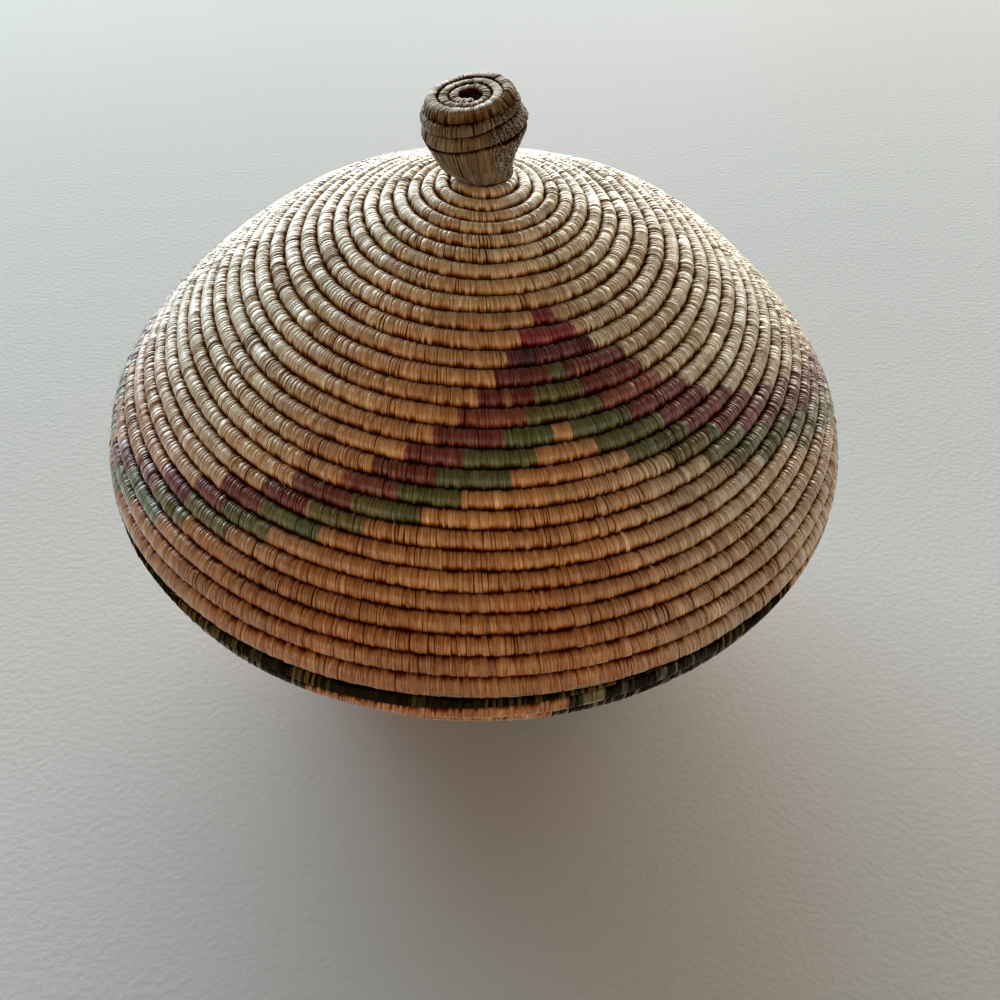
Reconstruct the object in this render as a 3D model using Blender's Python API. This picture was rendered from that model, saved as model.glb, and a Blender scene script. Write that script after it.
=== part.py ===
"""Lidded basket of coiled grass wrapped with raffia.

Two coils make the body: the lid's coil starts at the knob and grows outwards and
down to the rim, the bowl's coil starts at the middle of the base and grows outwards
and up to the rim. Each coil is made here as lengths that follow one another along
the spiral, so that every length is one piece with a small gap to the next one.

Units in the constants below are millimetres; the model is in metres, +Z up.
The origin is the middle of the base, on the table. -Y is the front.
"""

import math

import bpy
from mathutils import Matrix, Vector

MM = 0.001

# ---------------------------------------------------------------- dimensions
BOWL_HEIGHT = 84.0        # table to the plane where lid and bowl meet
LID_ROUNDS = 28           # grooves counted from the knob's foot to the lid's edge
GAP = 0.3                 # between neighbouring pieces
COIL_DEPTH = 4.6          # groove line to the inner face
CREST = 1.0               # how far a round stands proud of its grooves
SHOULDER = 0.5            # how deep the groove's flank begins

# (round, radius, height above the meeting plane) of the groove line, lid
LID_PROFILE = (
    (0.0, 7.2, 99.6),
    (2.0, 15.6, 96.0),
    (4.0, 24.3, 93.1),
    (8.0, 43.1, 83.5),
    (12.0, 63.8, 71.8),
    (16.0, 83.5, 57.6),
    (20.0, 101.6, 41.9),
    (24.0, 118.0, 24.1),
    (26.0, 125.6, 13.9),
    (27.0, 128.0, 7.2),
    (28.0, 130.0, 0.0),
)
# the same for the bowl, counted from the meeting plane down to the middle
BOWL_PROFILE = (
    (0.0, 130.0, 0.0),
    (1.0, 128.0, -6.5),
    (2.0, 124.9, -12.6),
    (3.0, 120.4, -17.6),
    (4.0, 115.8, -22.6),
    (8.0, 99.0, -42.8),
    (12.0, 82.2, -60.2),
    (16.0, 63.4, -75.0),
    (18.0, 52.9, -81.2),
    (19.0, 47.2, -83.4),
    (20.0, 41.4, -84.0),
    (26.0, 5.4, -84.0),
)
# The lid is out of round: its far side bulges, most of all behind on the right.
# Angles are degrees round the lid from the front, to the right.
LID_SWELL_ROUNDS = (2.0, 16.0, 28.0)   # rounds where the bulge begins, peaks and ends
LID_SWELL_SIDES = (58.0, 100.0)        # and the angles between which it grows
LID_SWELL = 3.6
LID_SWELL_HUMPS = ((132.0, 22.0, 2.5), (-140.0, 20.0, 1.1))  # angle, spread, height
# The bowl's rim stands forward a little under the lid's front edge.
BOWL_SWELL = 1.8
BOWL_SWELL_ROUNDS = (1.0, 2.0, 4.5)    # full from, full to, gone

LID_FIRST = 0.5           # where the lid's coil leaves the knob's foot
LID_LAST = 27.0 + 300.0 / 360.0
LID_TAPER = 120.0 / 360.0  # the last third of a turn runs out to nothing
BOWL_FIRST = -35.0 / 360.0
BOWL_LAST = 25.0
BOWL_TAPER = 60.0 / 360.0
TAPER_CUT = 0.363         # share of the taper that is left off, where the end is a third of a round

LID_END = LID_LAST - TAPER_CUT * LID_TAPER
BOWL_END = BOWL_FIRST + TAPER_CUT * BOWL_TAPER
LID_CUTS = (LID_FIRST, 3.5, 6.5, 9.5, 12.5, 15.5, 18.5, 20.5, 22.5, 24.5, 26.5, LID_END)
BOWL_CUTS = (BOWL_END, 0.9, 2.5, 4.5, 6.5, 8.5, 11.5, 14.5, 17.5, 19.5, 22.5, BOWL_LAST)
FINE_TURN = 24            # facets for one turn on the wide rounds
COARSE_TURN = 12          # and on the narrow ones
LID_FINE_FROM = 10.5
BOWL_FINE_TO = 14.5

COLLAR_OUTER = 123.1      # ring inside the bowl's rim that the lid drops over
COLLAR_THICK = 5.0
COLLAR_ROUND = 6.2
COLLAR_TOP = 6.3
COLLAR_LEAN = 1.0         # the upper round sits this much further in

KNOB_LEAN = 10.5          # degrees towards -X
KNOB_OFFSET = 1.3         # foot of the knob, +X
KNOB_FOOT = 99.6          # height of the knob's foot above the meeting plane
KNOB_TURN = 20            # facets round the knob
CORE_RADIUS = 4.4
CENTRE_HOLE = 5.0         # radius of the hole in the lid's middle that the core passes through
STEM = ((6.7, 0.0), (9.0, 3.2), (11.7, 7.0), (13.5, 11.0), (14.6, 16.5))
STEM_WALL = 2.6
HEAD_RADIUS = 14.6        # groove radius of the two rounds of the head
HEAD_CREST = 0.9
HEAD_LEVELS = (16.8, 21.3, 25.4)
SPIRAL_BOTTOM = 25.7
SPIRAL_TOP = 28.4
SPIRAL_RADIUS = 13.0
SPIRAL_PITCH = 3.1
SPIRAL_TURNS = 2.75
SPIRAL_STEP = 0.28         # part of each turn in which the flat coil moves in by one round
SPIRAL_START = 118.0      # degrees round the knob where the flat coil on top begins


# ---------------------------------------------------------------- helpers
def clear_scene():
    for item in list(bpy.data.objects):
        bpy.data.objects.remove(item, do_unlink=True)


def smoothstep(x):
    x = min(1.0, max(0.0, x))
    return x * x * (3.0 - 2.0 * x)


def profile_point(knots, at):
    """(radius, height) on a smooth curve through the knots."""
    at = min(max(at, knots[0][0]), knots[-1][0])
    i = 0
    while i < len(knots) - 2 and at > knots[i + 1][0]:
        i += 1

    def slope(k, axis):
        if k == 0:
            a, b = knots[0], knots[1]
        elif k == len(knots) - 1:
            a, b = knots[-2], knots[-1]
        else:
            left, mid, right = knots[k - 1], knots[k], knots[k + 1]
            before = (mid[axis] - left[axis]) / (mid[0] - left[0])
            after = (right[axis] - mid[axis]) / (right[0] - mid[0])
            if before * after <= 0.0:
                return 0.0
            return 2.0 * before * after / (before + after)
        return (b[axis] - a[axis]) / (b[0] - a[0])

    low, high = knots[i], knots[i + 1]
    span = high[0] - low[0]
    t = (at - low[0]) / span
    found = []
    for axis in (1, 2):
        m0, m1 = slope(i, axis) * span, slope(i + 1, axis) * span
        found.append(
            (2 * t**3 - 3 * t**2 + 1) * low[axis]
            + (t**3 - 2 * t**2 + t) * m0
            + (-2 * t**3 + 3 * t**2) * high[axis]
            + (t**3 - t**2) * m1
        )
    return found


def outward(knots, at, level_at):
    """Unit normal (radius, height) that turns level near the meeting plane."""
    step = 0.05
    a, b = profile_point(knots, at - step), profile_point(knots, at + step)
    angle = math.atan2(b[0] - a[0], -(b[1] - a[1]))
    share = smoothstep(1.0 - abs(at - level_at) / 2.0)
    angle *= 1.0 - share
    return math.cos(angle), math.sin(angle)


def lid_edge(turn):
    """Round number of the lid's edge at this place of the turn."""
    place = (turn - (LID_LAST - 1.0)) % 1.0 + (LID_LAST - 1.0)
    taper_from = LID_LAST - LID_TAPER
    if place <= taper_from:
        return place + 1.0
    return place + smoothstep((LID_LAST - place) / LID_TAPER)


def bowl_edge(turn):
    """Round number of the bowl's edge at this place of the turn."""
    place = (turn - BOWL_FIRST) % 1.0 + BOWL_FIRST
    if place >= BOWL_FIRST + BOWL_TAPER:
        return place
    return place + 1.0 - smoothstep((place - BOWL_FIRST) / BOWL_TAPER)


def lid_level(at, turn):
    edge = lid_edge(turn)
    return at + (LID_ROUNDS - edge) * smoothstep(1.0 - (edge - at) / 8.0)


def bowl_level(at, turn):
    edge = bowl_edge(turn)
    return at - edge * smoothstep(1.0 - (at - edge) / 8.0)


def lid_width(turn):
    if turn <= LID_LAST - LID_TAPER:
        return 1.0
    return smoothstep((LID_LAST - turn) / LID_TAPER)


def bowl_width(turn):
    if turn >= BOWL_FIRST + BOWL_TAPER:
        return 1.0
    return smoothstep((turn - BOWL_FIRST) / BOWL_TAPER)


def rounds_in(turn):
    """How many rounds the knob's flat coil has moved in: it keeps its radius, then steps inwards."""
    whole = math.floor(turn)
    part = max(turn - whole - 1.0 + SPIRAL_STEP, 0.0) / SPIRAL_STEP
    return whole + part * part * (3.0 - 2.0 * part)


def lid_swell(at, angle):
    """How far the lid bulges outwards at this round and angle."""
    low, peak, high = LID_SWELL_ROUNDS
    rise = smoothstep((at - low) / (peak - low))
    fall = 1.0 - min(1.0, max(0.0, (at - peak) / (high - peak))) ** 4
    degrees = (math.degrees(angle) + 180.0) % 360.0 - 180.0
    side, back = LID_SWELL_SIDES
    amount = LID_SWELL * smoothstep((abs(degrees) - side) / (back - side))
    for place, spread, height in LID_SWELL_HUMPS:
        apart = (degrees - place + 180.0) % 360.0 - 180.0
        amount += height * math.exp(-((apart / spread) ** 2))
    return rise * fall * amount


def bowl_swell(at, angle):
    """How far the bowl stands forward at this round and angle."""
    full, until, gone = BOWL_SWELL_ROUNDS
    share = smoothstep(at / full) * (1.0 - smoothstep((at - until) / (gone - until)))
    return BOWL_SWELL * share * max(0.0, math.cos(angle)) ** 3


def make_object(name, points, faces, material, smooth_angle=35.0):
    mesh = bpy.data.meshes.new(name)
    mesh.from_pydata([Vector(p) * MM for p in points], [], faces)
    mesh.update()
    mesh.shade_smooth()
    mesh.set_sharp_from_angle(angle=math.radians(smooth_angle))
    item = bpy.data.objects.new(name, mesh)
    item.data.materials.append(material)
    bpy.context.scene.collection.objects.link(item)
    return item


def sweep(rings, closed=False):
    """Points and faces of a tube through rings with the same number of corners."""
    corners = len(rings[0])
    points = [p for ring in rings for p in ring]
    faces = []
    count = len(rings)
    for i in range(count if closed else count - 1):
        a, b = i * corners, ((i + 1) % count) * corners
        for j in range(corners):
            k = (j + 1) % corners
            faces.append((a + j, a + k, b + k, b + j))
    if not closed:
        faces.append(tuple(range(corners - 1, -1, -1)))
        last = (count - 1) * corners
        faces.append(tuple(last + j for j in range(corners)))
    volume = sum(
        Vector(points[f[0]]).dot(Vector(points[f[i]]).cross(Vector(points[f[i + 1]])))
        for f in faces
        for i in range(1, len(f) - 1)
    )
    if volume < 0.0:
        faces = [tuple(reversed(f)) for f in faces]
    return points, faces


def stations(first, last, turn_facets, radius_first, radius_last):
    """Turns where a length has a section: its ends, and each whole facet between."""
    first += 0.5 * GAP / (2.0 * math.pi * radius_first)
    last -= 0.5 * GAP / (2.0 * math.pi * radius_last)
    found = [first]
    k = math.floor(first * turn_facets + 0.2) + 1
    while k / turn_facets < last - 0.2 / turn_facets:
        found.append(k / turn_facets)
        k += 1
    found.append(last)
    return found


def coil_length(name, kind, first, last, facets, material):
    lid = kind == "lid"
    knots = LID_PROFILE if lid else BOWL_PROFILE
    level = lid_level if lid else bowl_level
    width = lid_width if lid else bowl_width
    way = 1.0 if lid else -1.0
    meet = LID_ROUNDS if lid else 0.0

    def at_radius(turn):
        return profile_point(knots, turn)[0]

    rings = []
    for turn in stations(first, last, facets, at_radius(first), at_radius(last)):
        angle = way * 2.0 * math.pi * turn
        share = width(turn)
        if lid:
            low, high = turn, turn + share
        else:
            low, high = turn + 1.0 - share, turn + 1.0
        a, b = level(low, turn), level(high, turn)
        pa, pb = profile_point(knots, a), profile_point(knots, b)
        pitch = math.hypot(pb[0] - pa[0], pb[1] - pa[1]) / (b - a)
        half = 0.5 * GAP / pitch
        a, b = a + half, b - half
        flat = 0.0 if lid else smoothstep((0.5 * (a + b) - 16.5) / 3.0)
        crest = CREST * (1.0 - flat)
        shoulder = SHOULDER * (1.0 - flat)
        ring = []
        for at, deep in (
            (a, shoulder),
            (0.5 * (a + b), -crest),
            (b, shoulder),
            (b, COIL_DEPTH),
            (a, COIL_DEPTH),
        ):
            radius, height = profile_point(knots, at)
            nr, nz = outward(knots, at, meet)
            if lid:
                deep -= lid_swell(at, angle)
            else:
                radius += bowl_swell(at, angle)
            radius -= nr * deep
            height -= nz * deep
            ring.append(
                (
                    radius * math.sin(angle),
                    -radius * math.cos(angle),
                    height + BOWL_HEIGHT,
                )
            )
        rings.append(ring)
    points, faces = sweep(rings)
    return make_object(name, points, faces, material)


def base_start(name, material):
    """A flat disc in the middle of the base, whose edge follows the coil's inner edge."""
    rim = []
    first, last = BOWL_LAST, BOWL_LAST + 1.0
    for turn in stations(
        first,
        last,
        COARSE_TURN,
        profile_point(BOWL_PROFILE, first)[0],
        profile_point(BOWL_PROFILE, last)[0],
    ):
        rim.append((-2.0 * math.pi * turn, profile_point(BOWL_PROFILE, turn)[0] - 0.5 * GAP))
    rim.append((rim[0][0] - 2.0 * math.pi, rim[-1][1]))
    points = []
    for z in (0.0, COIL_DEPTH):
        points.append((0.0, 0.0, z))
        points += [(r * math.sin(a), -r * math.cos(a), z) for a, r in rim]
    count = len(rim)
    top = count + 1
    faces = []
    for i in range(count):
        k = (i + 1) % count
        faces.append((0, 1 + i, 1 + k))
        faces.append((top, top + 1 + k, top + 1 + i))
        faces.append((1 + i, top + 1 + i, top + 1 + k, 1 + k))
    return make_object(name, points, faces, material)


def lid_centre(name, material):
    """The lid's first small round, between the knob's leaning core and the coil's start."""
    lean = math.tan(math.radians(KNOB_LEAN))
    rings = []
    for turn in stations(
        LID_FIRST,
        LID_FIRST + 1.0,
        COARSE_TURN,
        profile_point(LID_PROFILE, LID_FIRST)[0],
        profile_point(LID_PROFILE, LID_FIRST)[0],
    ):
        angle = 2.0 * math.pi * turn
        edge = turn - 0.5 * GAP / 4.3
        radius, height = profile_point(LID_PROFILE, edge)
        nr, nz = outward(LID_PROFILE, edge, LID_ROUNDS)
        ring = []
        for deep in (SHOULDER, COIL_DEPTH):
            r, z = radius - nr * deep, height - nz * deep
            ring.append((r * math.sin(angle), -r * math.cos(angle), z + BOWL_HEIGHT))
        low = height - COIL_DEPTH
        x = KNOB_OFFSET + lean * (KNOB_FOOT - low) + CENTRE_HOLE * math.sin(angle)
        ring.append((x, -CENTRE_HOLE * math.cos(angle), low + BOWL_HEIGHT))
        x = KNOB_OFFSET + CENTRE_HOLE * math.sin(angle)
        high = KNOB_FOOT + lean * (x - KNOB_OFFSET) - 0.45
        ring.append((x, -CENTRE_HOLE * math.cos(angle), high + BOWL_HEIGHT))
        rings.append(ring)
    points, faces = sweep(rings)
    return make_object(name, points, faces, material)


def ring_piece(name, section, facets, material, parent=None):
    """A closed ring turned from (radius, height) corners."""
    rings = []
    for i in range(facets):
        angle = 2.0 * math.pi * i / facets
        rings.append([(r * math.sin(angle), -r * math.cos(angle), z) for r, z in section])
    points, faces = sweep(rings, closed=True)
    item = make_object(name, points, faces, material)
    item.parent = parent
    return item


def turned_piece(name, section, facets, material, parent=None):
    """A solid turned from (radius, height) corners whose two ends lie on the axis."""
    points = [(0.0, 0.0, section[0][1])]
    inner = section[1:-1]
    for i in range(facets):
        angle = 2.0 * math.pi * i / facets
        points += [(r * math.sin(angle), -r * math.cos(angle), z) for r, z in inner]
    points.append((0.0, 0.0, section[-1][1]))
    rows, last, faces = len(inner), len(points) - 1, []
    for i in range(facets):
        a, b = 1 + i * rows, 1 + ((i + 1) % facets) * rows
        faces.append((0, b, a))
        for j in range(rows - 1):
            faces.append((a + j, b + j, b + j + 1, a + j + 1))
        faces.append((last, a + rows - 1, b + rows - 1))
    item = make_object(name, points, faces, material)
    item.parent = parent
    return item


def material(name, colour, roughness):
    made = bpy.data.materials.new(name)
    made.use_nodes = True
    shader = made.node_tree.nodes["Principled BSDF"]
    shader.inputs["Base Color"].default_value = (*colour, 1.0)
    shader.inputs["Roughness"].default_value = roughness
    shader.inputs["Metallic"].default_value = 0.0
    return made


# ---------------------------------------------------------------- the basket
def build():
    clear_scene()
    natural = material("raffia_natural", (0.46, 0.29, 0.15), 0.62)
    pale = material("raffia_pale", (0.52, 0.37, 0.22), 0.62)
    dyed = material("raffia_dyed", (0.30, 0.15, 0.10), 0.62)
    green = material("raffia_dark_green", (0.035, 0.040, 0.018), 0.60)
    knob_tone = material("raffia_knob", (0.30, 0.22, 0.13), 0.65)
    grass = material("grass_bundle", (0.50, 0.42, 0.22), 0.80)

    # lid coil, from the knob's foot down to the edge
    for i in range(len(LID_CUTS) - 1):
        first, last = LID_CUTS[i], LID_CUTS[i + 1]
        facets = COARSE_TURN if last <= LID_FINE_FROM else FINE_TURN
        tone = pale if last <= 9.5 else (dyed if last <= 24.5 else natural)
        name = "lid_coil_%02d" % (i + 1)
        if i == 0:
            name = "lid_coil_01_start"
        if i == len(LID_CUTS) - 2:
            name = "lid_coil_%02d_edge" % (i + 1)
        coil_length(name, "lid", first, last, facets, tone)

    lid_centre("lid_centre_round", pale)

    # bowl coil, from the rim down the wall and in to the middle of the base
    for i in range(len(BOWL_CUTS) - 1):
        first, last = BOWL_CUTS[i], BOWL_CUTS[i + 1]
        facets = FINE_TURN if last <= BOWL_FINE_TO else COARSE_TURN
        if i == 0:
            name, tone = "bowl_rim_round", green
        elif last <= 17.5:
            name, tone = "bowl_wall_coil_%02d" % i, (natural if i % 2 else pale)
        elif last <= 19.5:
            name, tone = "bowl_base_edge_coil", natural
        else:
            name, tone = "bowl_base_coil_%s" % ("outer" if last < BOWL_LAST else "inner"), pale
        coil_length(name, "bowl", first, last, facets, tone)

    # start of the bowl's coil, a small tight button in the middle of the base
    base_start("bowl_base_start", natural)

    # collar inside the bowl's rim, two rounds high
    low = COLLAR_TOP - 2.0 * COLLAR_ROUND
    for name, z0, outer in (
        ("bowl_collar_lower", low, COLLAR_OUTER),
        ("bowl_collar_upper", low + COLLAR_ROUND, COLLAR_OUTER - COLLAR_LEAN),
    ):
        z1 = z0 + COLLAR_ROUND - GAP
        mid = 0.5 * (z0 + z1)
        inner = outer - COLLAR_THICK
        ring_piece(
            name,
            [
                (r, z + BOWL_HEIGHT)
                for r, z in (
                    (outer - 0.6, z0),
                    (outer, mid),
                    (outer - 0.6, z1),
                    (inner + 0.6, z1),
                    (inner, mid),
                    (inner + 0.6, z0),
                )
            ],
            FINE_TURN,
            natural,
        )

    # knob, leaning a little to one side on the lid's first round
    frame = bpy.data.objects.new("knob_frame", None)
    bpy.context.scene.collection.objects.link(frame)
    frame.matrix_world = Matrix.Translation(
        (KNOB_OFFSET * MM, 0.0, (BOWL_HEIGHT + KNOB_FOOT) * MM)
    ) @ Matrix.Rotation(math.radians(-KNOB_LEAN), 4, "Y")

    core = [(r - STEM_WALL, z) for r, z in STEM]
    core_top = HEAD_LEVELS[2] - 0.1
    turned_piece(
        "knob_core",
        [(0.0, -5.6), (CORE_RADIUS, -5.6), (CORE_RADIUS, 0.6)]
        + [(max(CORE_RADIUS, r), z) for r, z in core[1:]]
        + [(HEAD_RADIUS - 4.9, HEAD_LEVELS[0] + 0.6), (HEAD_RADIUS - 4.9, core_top), (0.0, core_top)],
        KNOB_TURN,
        grass,
        frame,
    )
    ring_piece(
        "knob_stem_wrap",
        list(STEM)
        + [(max(CORE_RADIUS, r) + 0.35, z + 0.05) for r, z in reversed(core[1:])]
        + [(CORE_RADIUS + 0.35, STEM[0][1])],
        KNOB_TURN,
        knob_tone,
        frame,
    )
    for name, z0, z1, radius in (
        ("knob_lower_round", HEAD_LEVELS[0], HEAD_LEVELS[1], HEAD_RADIUS + 0.3),
        ("knob_upper_round", HEAD_LEVELS[1] + GAP, HEAD_LEVELS[2], HEAD_RADIUS + 0.2),
    ):
        mid = 0.5 * (z0 + z1)
        inner = HEAD_RADIUS - 4.9 + GAP
        if name == "knob_lower_round":
            section = [(radius - 0.3, z0), (radius + HEAD_CREST, mid), (radius, z1), (inner, z1), (inner, z0 + 0.9), (inner + 1.6, z0)]
        else:
            section = [(radius, z0), (radius + HEAD_CREST, mid), (radius - 0.4, z1), (inner, z1), (inner, z0)]
        ring_piece(name, section, KNOB_TURN, knob_tone, frame)

    rings = []
    steps = int(round(SPIRAL_TURNS * 16))
    for i in range(steps + 1):
        turn = SPIRAL_TURNS * i / steps
        angle = math.radians(SPIRAL_START) + 2.0 * math.pi * turn
        outer = SPIRAL_RADIUS - SPIRAL_PITCH * rounds_in(turn)
        inner = outer - (SPIRAL_PITCH - GAP)
        mid = 0.5 * (outer + inner)
        rings.append(
            [
                (r * math.sin(angle), -r * math.cos(angle), z)
                for r, z in (
                    (outer, SPIRAL_BOTTOM),
                    (outer, SPIRAL_TOP - 0.9),
                    (mid, SPIRAL_TOP),
                    (inner, SPIRAL_TOP - 0.9),
                    (inner, SPIRAL_BOTTOM),
                )
            ]
        )
    points, faces = sweep(rings)
    spiral = make_object("knob_top_spiral", points, faces, knob_tone)
    spiral.parent = frame


build()
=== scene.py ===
"""Looks of the lidded basket: the coils wrapped in raffia strands, the knob, loose fibres, floor, light and camera.

The lid's coil starts at the knob's foot and grows outwards and down, the bowl's starts in
the middle of the base and grows outwards and up. Every wrap of raffia is modelled: the
coil's tube has a ring of vertices at each gap between strands and two on each strand.
Lengths below are millimetres unless said otherwise; meshes are written in metres.
"""

import math

import bpy
import numpy as np
from mathutils import Matrix, Vector


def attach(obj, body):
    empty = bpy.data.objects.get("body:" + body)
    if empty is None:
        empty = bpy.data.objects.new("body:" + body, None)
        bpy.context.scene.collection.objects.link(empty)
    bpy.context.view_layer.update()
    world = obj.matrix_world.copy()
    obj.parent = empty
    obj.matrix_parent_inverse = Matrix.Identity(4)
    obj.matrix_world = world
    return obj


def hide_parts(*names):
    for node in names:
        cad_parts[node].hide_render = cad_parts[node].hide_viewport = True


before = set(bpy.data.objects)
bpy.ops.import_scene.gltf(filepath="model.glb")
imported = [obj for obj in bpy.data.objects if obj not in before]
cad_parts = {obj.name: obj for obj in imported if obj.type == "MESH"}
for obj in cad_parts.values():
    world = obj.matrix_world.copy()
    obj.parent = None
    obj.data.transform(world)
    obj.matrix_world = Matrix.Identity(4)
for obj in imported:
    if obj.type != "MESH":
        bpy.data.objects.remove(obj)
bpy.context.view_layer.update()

TAU = 2.0 * math.pi
BOWL_HEIGHT = 84.0
LID_ROUNDS = 28
COIL_DEPTH = 4.6
CREST = 1.1

LID_PROFILE = (
    (-1.0, 3.6, 100.4),
    (0.0, 7.2, 99.6),
    (2.0, 15.6, 96.0),
    (4.0, 24.3, 93.1),
    (8.0, 43.1, 83.5),
    (12.0, 63.8, 71.8),
    (16.0, 83.5, 57.6),
    (20.0, 101.6, 41.9),
    (24.0, 118.0, 24.1),
    (26.0, 125.6, 13.9),
    (27.0, 128.0, 7.2),
    (28.0, 130.0, 0.0),
)
BOWL_PROFILE = (
    (0.0, 130.0, 0.0),
    (1.0, 128.0, -6.5),
    (2.0, 124.9, -12.6),
    (3.0, 120.4, -17.6),
    (4.0, 115.8, -22.6),
    (8.0, 99.0, -42.8),
    (12.0, 82.2, -60.2),
    (16.0, 63.4, -75.0),
    (18.0, 52.9, -81.2),
    (19.0, 47.2, -83.4),
    (20.0, 41.4, -84.0),
    (26.0, 5.4, -84.0),
    (27.0, 0.6, -84.0),
)
LID_FIRST = 0.5
LID_LAST = 27.0 + 300.0 / 360.0
LID_TAPER = 120.0 / 360.0
BOWL_FIRST = -35.0 / 360.0
BOWL_LAST = 25.0
BOWL_TAPER = 60.0 / 360.0
TAPER_CUT = 0.363
LID_END = LID_LAST - TAPER_CUT * LID_TAPER
BOWL_END = BOWL_FIRST + TAPER_CUT * BOWL_TAPER
LID_CUTS = (LID_FIRST, 3.5, 6.5, 9.5, 12.5, 15.5, 18.5, 20.5, 22.5, 24.5, 26.5, LID_END)
BOWL_CUTS = (BOWL_END, 0.9, 2.5, 4.5, 6.5, 8.5, 11.5, 14.5, 17.5, 19.5, 22.5, BOWL_LAST)
NUB = -65.0 / 360.0  # where the lid's coil comes up beside the knob's foot
BASE_MIDDLE = 25.80  # where the bowl's coil begins, in the middle of the base

COLLAR_OUTER = 123.1
COLLAR_THICK = 5.0
COLLAR_ROUND = 6.2
COLLAR_TOP = 6.3
COLLAR_LEAN = 1.0

KNOB_LEAN = 10.5
KNOB_OFFSET = 1.3
KNOB_FOOT = 99.6
STEM = ((0.0, 6.7, 0.0), (1.0, 9.0, 3.2), (2.0, 11.7, 7.0), (3.0, 13.5, 11.0), (4.0, 14.6, 16.5))
STEM_WALL = 2.6
CORE_RADIUS = 4.4
HEAD_RADIUS = 14.6
HEAD_CREST = 0.9
HEAD_LEVELS = (16.8, 21.3, 25.4)
SPIRAL_BOTTOM, SPIRAL_TOP = 25.7, 28.4
SPIRAL_RADIUS, SPIRAL_PITCH, SPIRAL_TURNS = 13.0, 3.4, 2.75
SPIRAL_STEP = 0.28
SPIRAL_START = 118.0


# ------------------------------------------------------------------ small maths
def smooth(x):
    x = np.clip(x, 0.0, 1.0)
    return x * x * (3.0 - 2.0 * x)


class Curve:
    """A smooth line through (place, radius, height) knots, with its outward normal."""

    def __init__(self, knots, meet=None):
        k = np.array(knots, float)
        self.x, self.y, self.meet = k[:, 0], k[:, 1:], meet
        d = (self.y[1:] - self.y[:-1]) / (self.x[1:] - self.x[:-1])[:, None]
        m = np.zeros_like(self.y)
        m[0], m[-1] = d[0], d[-1]
        a, b = d[:-1], d[1:]
        same = a * b > 0.0
        m[1:-1] = np.where(same, 2.0 * a * b / np.where(same, a + b, 1.0), 0.0)
        self.m = m

    def at(self, u):
        u = np.clip(u, self.x[0], self.x[-1])
        i = np.clip(np.searchsorted(self.x, u, side="right") - 1, 0, len(self.x) - 2)
        span = (self.x[i + 1] - self.x[i])[..., None]
        t = (u - self.x[i])[..., None] / span
        p = (
            (2 * t**3 - 3 * t**2 + 1) * self.y[i]
            + (t**3 - 2 * t**2 + t) * self.m[i] * span
            + (-2 * t**3 + 3 * t**2) * self.y[i + 1]
            + (t**3 - t**2) * self.m[i + 1] * span
        )
        return p[..., 0], p[..., 1]

    def normal(self, u):
        ra, za = self.at(np.asarray(u) - 0.05)
        rb, zb = self.at(np.asarray(u) + 0.05)
        angle = np.arctan2(rb - ra, -(zb - za))
        if self.meet is not None:
            angle = angle * (1.0 - smooth(1.0 - np.abs(u - self.meet) / 2.0))
        return np.cos(angle), np.sin(angle)


LID = Curve(LID_PROFILE, LID_ROUNDS)
BOWL = Curve(BOWL_PROFILE, 0.0)


def lid_edge(turn):
    place = (turn - (LID_LAST - 1.0)) % 1.0 + (LID_LAST - 1.0)
    return np.where(
        place <= LID_LAST - LID_TAPER, place + 1.0, place + smooth((LID_LAST - place) / LID_TAPER)
    )


def bowl_edge(turn):
    place = (turn - BOWL_FIRST) % 1.0 + BOWL_FIRST
    return np.where(
        place >= BOWL_FIRST + BOWL_TAPER,
        place,
        place + 1.0 - smooth((place - BOWL_FIRST) / BOWL_TAPER),
    )


def lid_level(at, turn):
    edge = lid_edge(turn)
    return at + (LID_ROUNDS - edge) * smooth(1.0 - (edge - at) / 8.0)


def bowl_level(at, turn):
    edge = bowl_edge(turn)
    return at - edge * smooth(1.0 - (at - edge) / 8.0)


def lid_width(turn):
    return np.where(turn <= LID_LAST - LID_TAPER, 1.0, smooth((LID_LAST - turn) / LID_TAPER))


def bowl_width(turn):
    return np.where(
        turn >= BOWL_FIRST + BOWL_TAPER, 1.0, smooth((turn - BOWL_FIRST) / BOWL_TAPER)
    )


def lid_swell(at, phi):
    """The lid is out of round: how far it bulges at this round and angle, as in the CAD."""
    rise = smooth((at - 2.0) / 14.0)
    fall = 1.0 - np.clip((at - 16.0) / 12.0, 0.0, 1.0) ** 4
    degrees = (np.degrees(phi) + 180.0) % 360.0 - 180.0
    amount = 3.6 * smooth((np.abs(degrees) - 58.0) / 42.0)
    for place, spread, height in ((132.0, 22.0, 2.5), (-140.0, 20.0, 1.1)):
        apart = (degrees - place + 180.0) % 360.0 - 180.0
        amount = amount + height * np.exp(-((apart / spread) ** 2))
    return rise * fall * amount


def bowl_swell(at, phi):
    """How far the bowl's rim stands forward under the lid's front edge, as in the CAD."""
    share = smooth(at) * (1.0 - smooth((at - 2.0) / 2.5))
    return 1.8 * share * np.maximum(np.cos(phi), 0.0) ** 3


def wander(seed, length, step, rng_scale=1.0, closed=False):
    """Smooth seeded noise on [0, length] with one free value every step."""
    rng = np.random.default_rng(seed)
    count = int(length / step) + (0 if closed else 6)
    values = rng.normal(0.0, rng_scale, count)

    def read(x):
        x = np.asarray(x, float)
        if closed:
            t = (x / length % 1.0) * count
            i = np.floor(t).astype(int) % count
            f = smooth(t - np.floor(t))
            return values[i] * (1.0 - f) + values[(i + 1) % count] * f
        t = np.clip(x / step + 2.0, 0.0, count - 2.001)
        i = np.floor(t).astype(int)
        f = smooth(t - i)
        return values[i] * (1.0 - f) + values[i + 1] * f

    return read


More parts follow.
